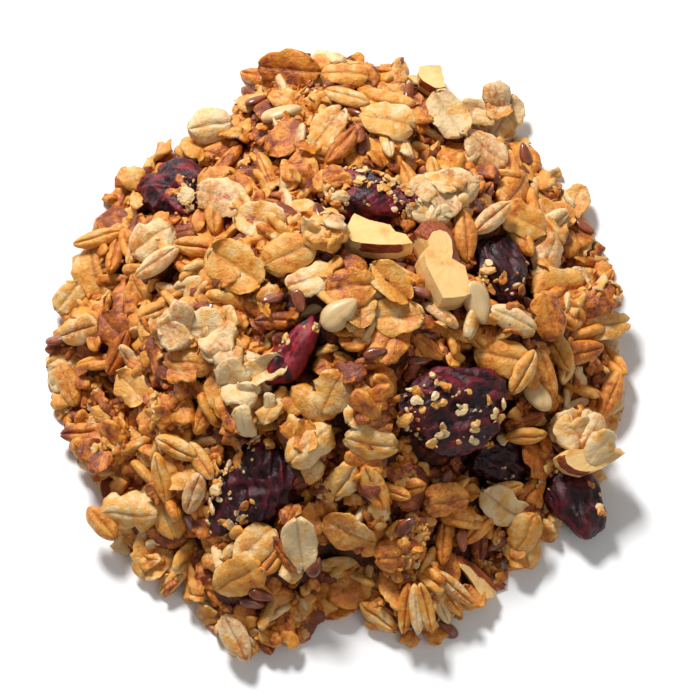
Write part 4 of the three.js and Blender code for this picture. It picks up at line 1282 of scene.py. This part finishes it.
class Crumb(Lying):
    """A bit of oat or sugar, turned by chance about the direction that it faces."""

    def __init__(self, place, size, out, deep=0.0):
        self.out = unit(np.asarray(out, float))
        self.along = unit(np.cross(self.out, crumb_draws.standard_normal(3)))
        self.across = np.cross(self.out, self.along)
        self.x, self.y, self.z = place
        self.length, self.width, self.thickness = size
        self.deep = deep


def crumb_size(least, most):
    """Length, width and thickness by chance, mostly towards the least."""
    length = least + (most - least) * crumb_draws.random() ** 1.8
    return length, length * crumb_draws.uniform(0.6, 0.95), length * crumb_draws.uniform(0.4, 0.75)


def chance_place(inset):
    """A place at least that far inside the foot, and its row and column on the map."""
    turn = 2 * math.pi * crumb_draws.random()
    r = math.sqrt(crumb_draws.random()) * (foot_at(turn) - inset)
    x, y = r * math.cos(turn), r * math.sin(turn)
    return x, y, cell_of(y), cell_of(x)


def in_gaps(count, least, most, flatness):
    """Small bits that lie in the gaps between the pieces."""
    bits = []
    while len(bits) < count:
        x, y, j, i = chance_place(GAP_INSET)
        if fruit_map[j, i] or gap_map[j, i] > -GAP_DEPTH:
            continue
        length, width, thickness = crumb_size(least, most)
        out = out_of_dome(x, y) + 0.45 * crumb_draws.standard_normal(3)
        out[2] = max(0.2, out[2])
        z = max(float(top_map[j - 1 : j + 2, i - 1 : i + 2].mean()) + 0.2 * thickness, 0.4 * thickness)
        deep = float(np.clip((-gap_map[j, i] - GAP_DEPTH) / GAP_DEEP, 0, 1))
        bits.append(Crumb((x, y, z), (length, width, thickness * flatness), out, deep))
    return bits


def round_the_rim(count, least, most, flatness):
    """Small bits heaped against the foot of the heap."""
    bits = []
    for _ in range(count):
        turn = 2 * math.pi * crumb_draws.random()
        share = crumb_draws.uniform(*RIM_BAND)
        x, y = share * foot_at(turn) * math.cos(turn), share * foot_at(turn) * math.sin(turn)
        length, width, thickness = crumb_size(least, most)
        rise = RIM_RISE * (RIM_BAND[1] - share) / (RIM_BAND[1] - RIM_BAND[0])
        out = [0.6 * math.cos(turn), 0.6 * math.sin(turn), 0.8] + 0.5 * crumb_draws.standard_normal(3)
        carried = max(0.3 * length, float(top_map[cell_of(y), cell_of(x)]))
        z = min(0.3 * length + rise * crumb_draws.random(), carried)
        bits.append(Crumb((x, y, z), (length, width, thickness * flatness), out))
    return bits


def on_the_core(count, least, most, flatness):
    """Small bits stuck to the core where it is bare between the pieces."""
    bits = []
    while len(bits) < count:
        ring = int(CORE_RINGS * math.sqrt(crumb_draws.uniform(CORE_BAND[0] ** 2, CORE_BAND[1] ** 2)))
        x, y, z = core_surface[ring, crumb_draws.integers(CORE_SPOKES)]
        j, i = cell_of(y), cell_of(x)
        if fruit_map[j, i] or top_map[j, i] - z > BARE_DEPTH:
            continue
        out = out_of_dome(x, y) + 0.4 * crumb_draws.standard_normal(3)
        length, width, thickness = crumb_size(least, most)
        size = (length, width, thickness * flatness)
        bits.append(Crumb((x, y, z + 0.3 * thickness), size, out, CORE_DEEP))
    return bits


def bit_tones(bits, middle, spread_by):
    """How far bits are baked: more so in the deeper gaps, for syrup and painted shade."""
    deep = np.array([bit.deep for bit in bits])
    return np.clip(middle + DEEP_SYRUP_AND_SHADE * deep + spread_by * crumb_draws.standard_normal(len(bits)), 0, 1)


def chance_tones(count, middle, spread_by):
    """How far each of some pieces is baked, by chance alone."""
    return np.clip(middle + spread_by * crumb_draws.standard_normal(count), 0, 1)


def standing_oat(x, y, ground):
    """An oat on edge between the others: its length lies along the heap and its width points up."""
    length = crumb_draws.uniform(5.5, 8.5)
    width, thickness = length * crumb_draws.uniform(0.4, 0.62), length * crumb_draws.uniform(0.2, 0.28)
    heading = 2 * math.pi * crumb_draws.random()
    rise = math.radians(crumb_draws.uniform(-35, 35))
    roll = math.radians(crumb_draws.uniform(35, 80))
    oat = Crumb((x, y, max(ground + 0.1 * width, 0.5 * width)), (length, width, thickness), (0, 0, 1))
    level = np.array([-math.sin(heading), math.cos(heading), 0.0])
    forward = np.array([math.cos(heading), math.sin(heading), 0.0])
    oat.along = forward * math.cos(rise) + np.array([0, 0, math.sin(rise)])
    oat.out = math.cos(roll) * np.cross(oat.along, level) + math.sin(roll) * level
    oat.across = np.cross(oat.out, oat.along)
    return oat


loose = in_gaps(LOOSE_CRUMBS, 0.9, 2.4, 1.0) + round_the_rim(RIM_CRUMBS, 0.9, 2.6, 1.0)
lumps("loose_crumbs", loose, bit_tones(loose, 0.4, 0.22), CRUMB, 2, 0.5, (2, 4), 24)
bits = in_gaps(OAT_BITS, 2.0, 4.4, 0.5) + round_the_rim(RIM_BITS, 2.4, 5.2, 0.5)
bits += on_the_core(CORE_BITS, 2.0, 4.6, 0.5)
flat_pieces("oat_bits", bits, bit_tones(bits, 0.4, 0.25), "bit", OAT, 6, PLAIN)
standing = []
while len(standing) < STANDING_OATS:
    x, y, j, i = chance_place(STANDING_INSET)
    near = (slice(j - CLEAR_CELLS, j + CLEAR_CELLS + 1), slice(i - CLEAR_CELLS, i + CLEAR_CELLS + 1))
    if not fruit_map[near].any() and gap_map[j, i] <= -GAP_DEPTH:
        standing.append(standing_oat(x, y, top_map[j, i]))
flat_pieces("standing_oats", standing, chance_tones(STANDING_OATS, 0.42, 0.22), "groat", OAT)

# ---------------------------------------------------------------- crumbs stuck to nubs, the fan and berries

CRUMBS_ON_NUB = 18
OATS_ON_NUB = 7
FAN_CRUMBS = 40
# How many crumbs stick to each berry, and about how many of them stick in one place.
STUCK = {
    "cranberry_1": 26, "cranberry_2": 170, "cranberry_3": 26, "cranberry_4": 8,
    "cranberry_5": 10, "cranberry_6": 90, "cranberry_7": 80, "cranberry_8": 8,
}
CRUMBS_TOGETHER = 12


def upward(vector, rise):
    """The direction of a vector once it is turned up, and raised by a little."""
    return unit(np.array([vector[0], vector[1], abs(vector[2]) + rise]))


baked_on, oats_on_nubs = [], []
for nub in by_kind["nub"]:
    for _ in range(CRUMBS_ON_NUB):
        direction = upward(crumb_draws.standard_normal(3), 0.1)
        spot = nub.in_place(0.95 * direction * nub.half_size())
        baked_on.append(Crumb(spot, crumb_size(0.6, 2.6), direction @ nub.axes()))
    for _ in range(OATS_ON_NUB):
        direction = upward(crumb_draws.standard_normal(3), 0.2)
        spot = nub.in_place(0.93 * direction * nub.half_size())
        length, width, thickness = crumb_size(2.2, 5.0)
        lean = direction + 0.3 * crumb_draws.standard_normal(3)
        oats_on_nubs.append(Crumb(spot, (length, width, 0.4 * thickness), lean @ nub.axes()))
flat_pieces("oats_on_nubs", oats_on_nubs, chance_tones(len(oats_on_nubs), 0.35, 0.25), "bit", OAT, 6, PLAIN)
fan_x, fan_y = spot_at(SPRAY_AT)
for _ in range(FAN_CRUMBS):
    x, y = fan_x + 1.6 * crumb_draws.standard_normal(), fan_y + 1.4 * crumb_draws.standard_normal()
    spot = (x, y, float(top_map[cell_of(y), cell_of(x)]) + 0.1)
    baked_on.append(Crumb(spot, crumb_size(0.9, 2.4), crumb_draws.standard_normal(3)))
lumps("baked_on_crumbs", baked_on, chance_tones(len(baked_on), 0.42, 0.2), CRUMB, 2, 0.4, (2, 4), 26)

stuck = []
for name, count in STUCK.items():
    piece, number = fruits[name], fruit_numbers[name]
    places = max(2, count // CRUMBS_TOGETHER)
    for _ in range(places):
        centre = upward(crumb_draws.standard_normal(3) * np.array([0.9, 0.7, 0.5]), 0.3)
        for _ in range(count // places):
            direction = upward(centre + 0.3 * crumb_draws.standard_normal(3), 0)
            spot = piece.in_place(cranberry_form(direction[None], piece, number))[0]
            outward = unit(direction / piece.half_size() @ piece.axes())
            lean = outward + 0.2 * crumb_draws.standard_normal(3)
            length, width, thickness = crumb_size(0.3, 1.9)
            stuck.append(Crumb(spot + 0.1 * outward, (length, width, 0.5 * thickness + 0.2), lean))
lumps("crumbs_on_berries", stuck, chance_tones(len(stuck), 0.16, 0.3), CRUMB, 2, 0.7, (2, 3), 14)

# ---------------------------------------------------------------- floor, light and camera

FLOOR_REACH = 1.5
FLOOR_GREYS = ((0.93, 0.93, 0.93), (0.96, 0.96, 0.96))
SKY_STRENGTH = 0.24
VIEW_PIXELS = 700
CAMERA_DISTANCE = 1.1
SENSOR = 36.0
SCALE_HEIGHT = 12.0  # the view's scale holds for what lies this high, in millimetres


def floor():
    look = Look("pale_floor", Roughness=0.7)
    look.finish(look.ramp(look.noise(6, 2), zip((0.3, 0.7), FLOOR_GREYS)))
    r = FLOOR_REACH
    mesh = bpy.data.meshes.new("floor")
    mesh.from_pydata([(-r, -r, 0), (r, -r, 0), (r, r, 0), (-r, r, 0)], [], [(0, 1, 2, 3)])
    mesh.materials.append(look.material)
    plane = bpy.data.objects.new("floor", mesh)
    bpy.context.scene.collection.objects.link(plane)


def area_light(name, place, size, power, target=(0, 0, 0.01)):
    """A square light that faces the heap."""
    data = bpy.data.lights.new(name, "AREA")
    data.size = size
    data.energy = power
    light = bpy.data.objects.new(name, data)
    light.location = place
    light.rotation_euler = (Vector(target) - light.location).to_track_quat("-Z", "Y").to_euler()
    bpy.context.scene.collection.objects.link(light)


floor()
area_light("key", (-0.2, 0.46, 0.54), 0.16, 7.4)
area_light("fill", (0.4, -0.4, 0.6), 0.4, 0.9)
world = bpy.data.worlds.new("studio")
world.use_nodes = True
world.node_tree.nodes["Background"].inputs["Color"].default_value = (1, 1, 1, 1)
world.node_tree.nodes["Background"].inputs["Strength"].default_value = SKY_STRENGTH
bpy.context.scene.world = world
bpy.context.scene.view_settings.view_transform = "Standard"
bpy.context.scene.view_settings.look = "None"

camera_data = bpy.data.cameras.new("view")
camera_data.sensor_width = SENSOR
camera_data.sensor_fit = "HORIZONTAL"
camera_data.lens = SENSOR * CAMERA_DISTANCE / (VIEW_PIXELS * MM_PER_PIXEL * MM)
camera_data.clip_start = 0.05
camera_data.clip_end = 20
camera = bpy.data.objects.new("view", camera_data)
bpy.context.scene.collection.objects.link(camera)
right, ahead = spot_at((VIEW_PIXELS / 2, VIEW_PIXELS / 2), SCALE_HEIGHT)
target = (np.array([right, ahead, SCALE_HEIGHT]) + BOX_SHIFT) * MM
camera.location = target + CAMERA_DISTANCE * np.array([0, -math.cos(ELEVATION), math.sin(ELEVATION)])
camera.rotation_euler = (math.pi / 2 - ELEVATION, 0, 0)
bpy.context.scene.camera = camera
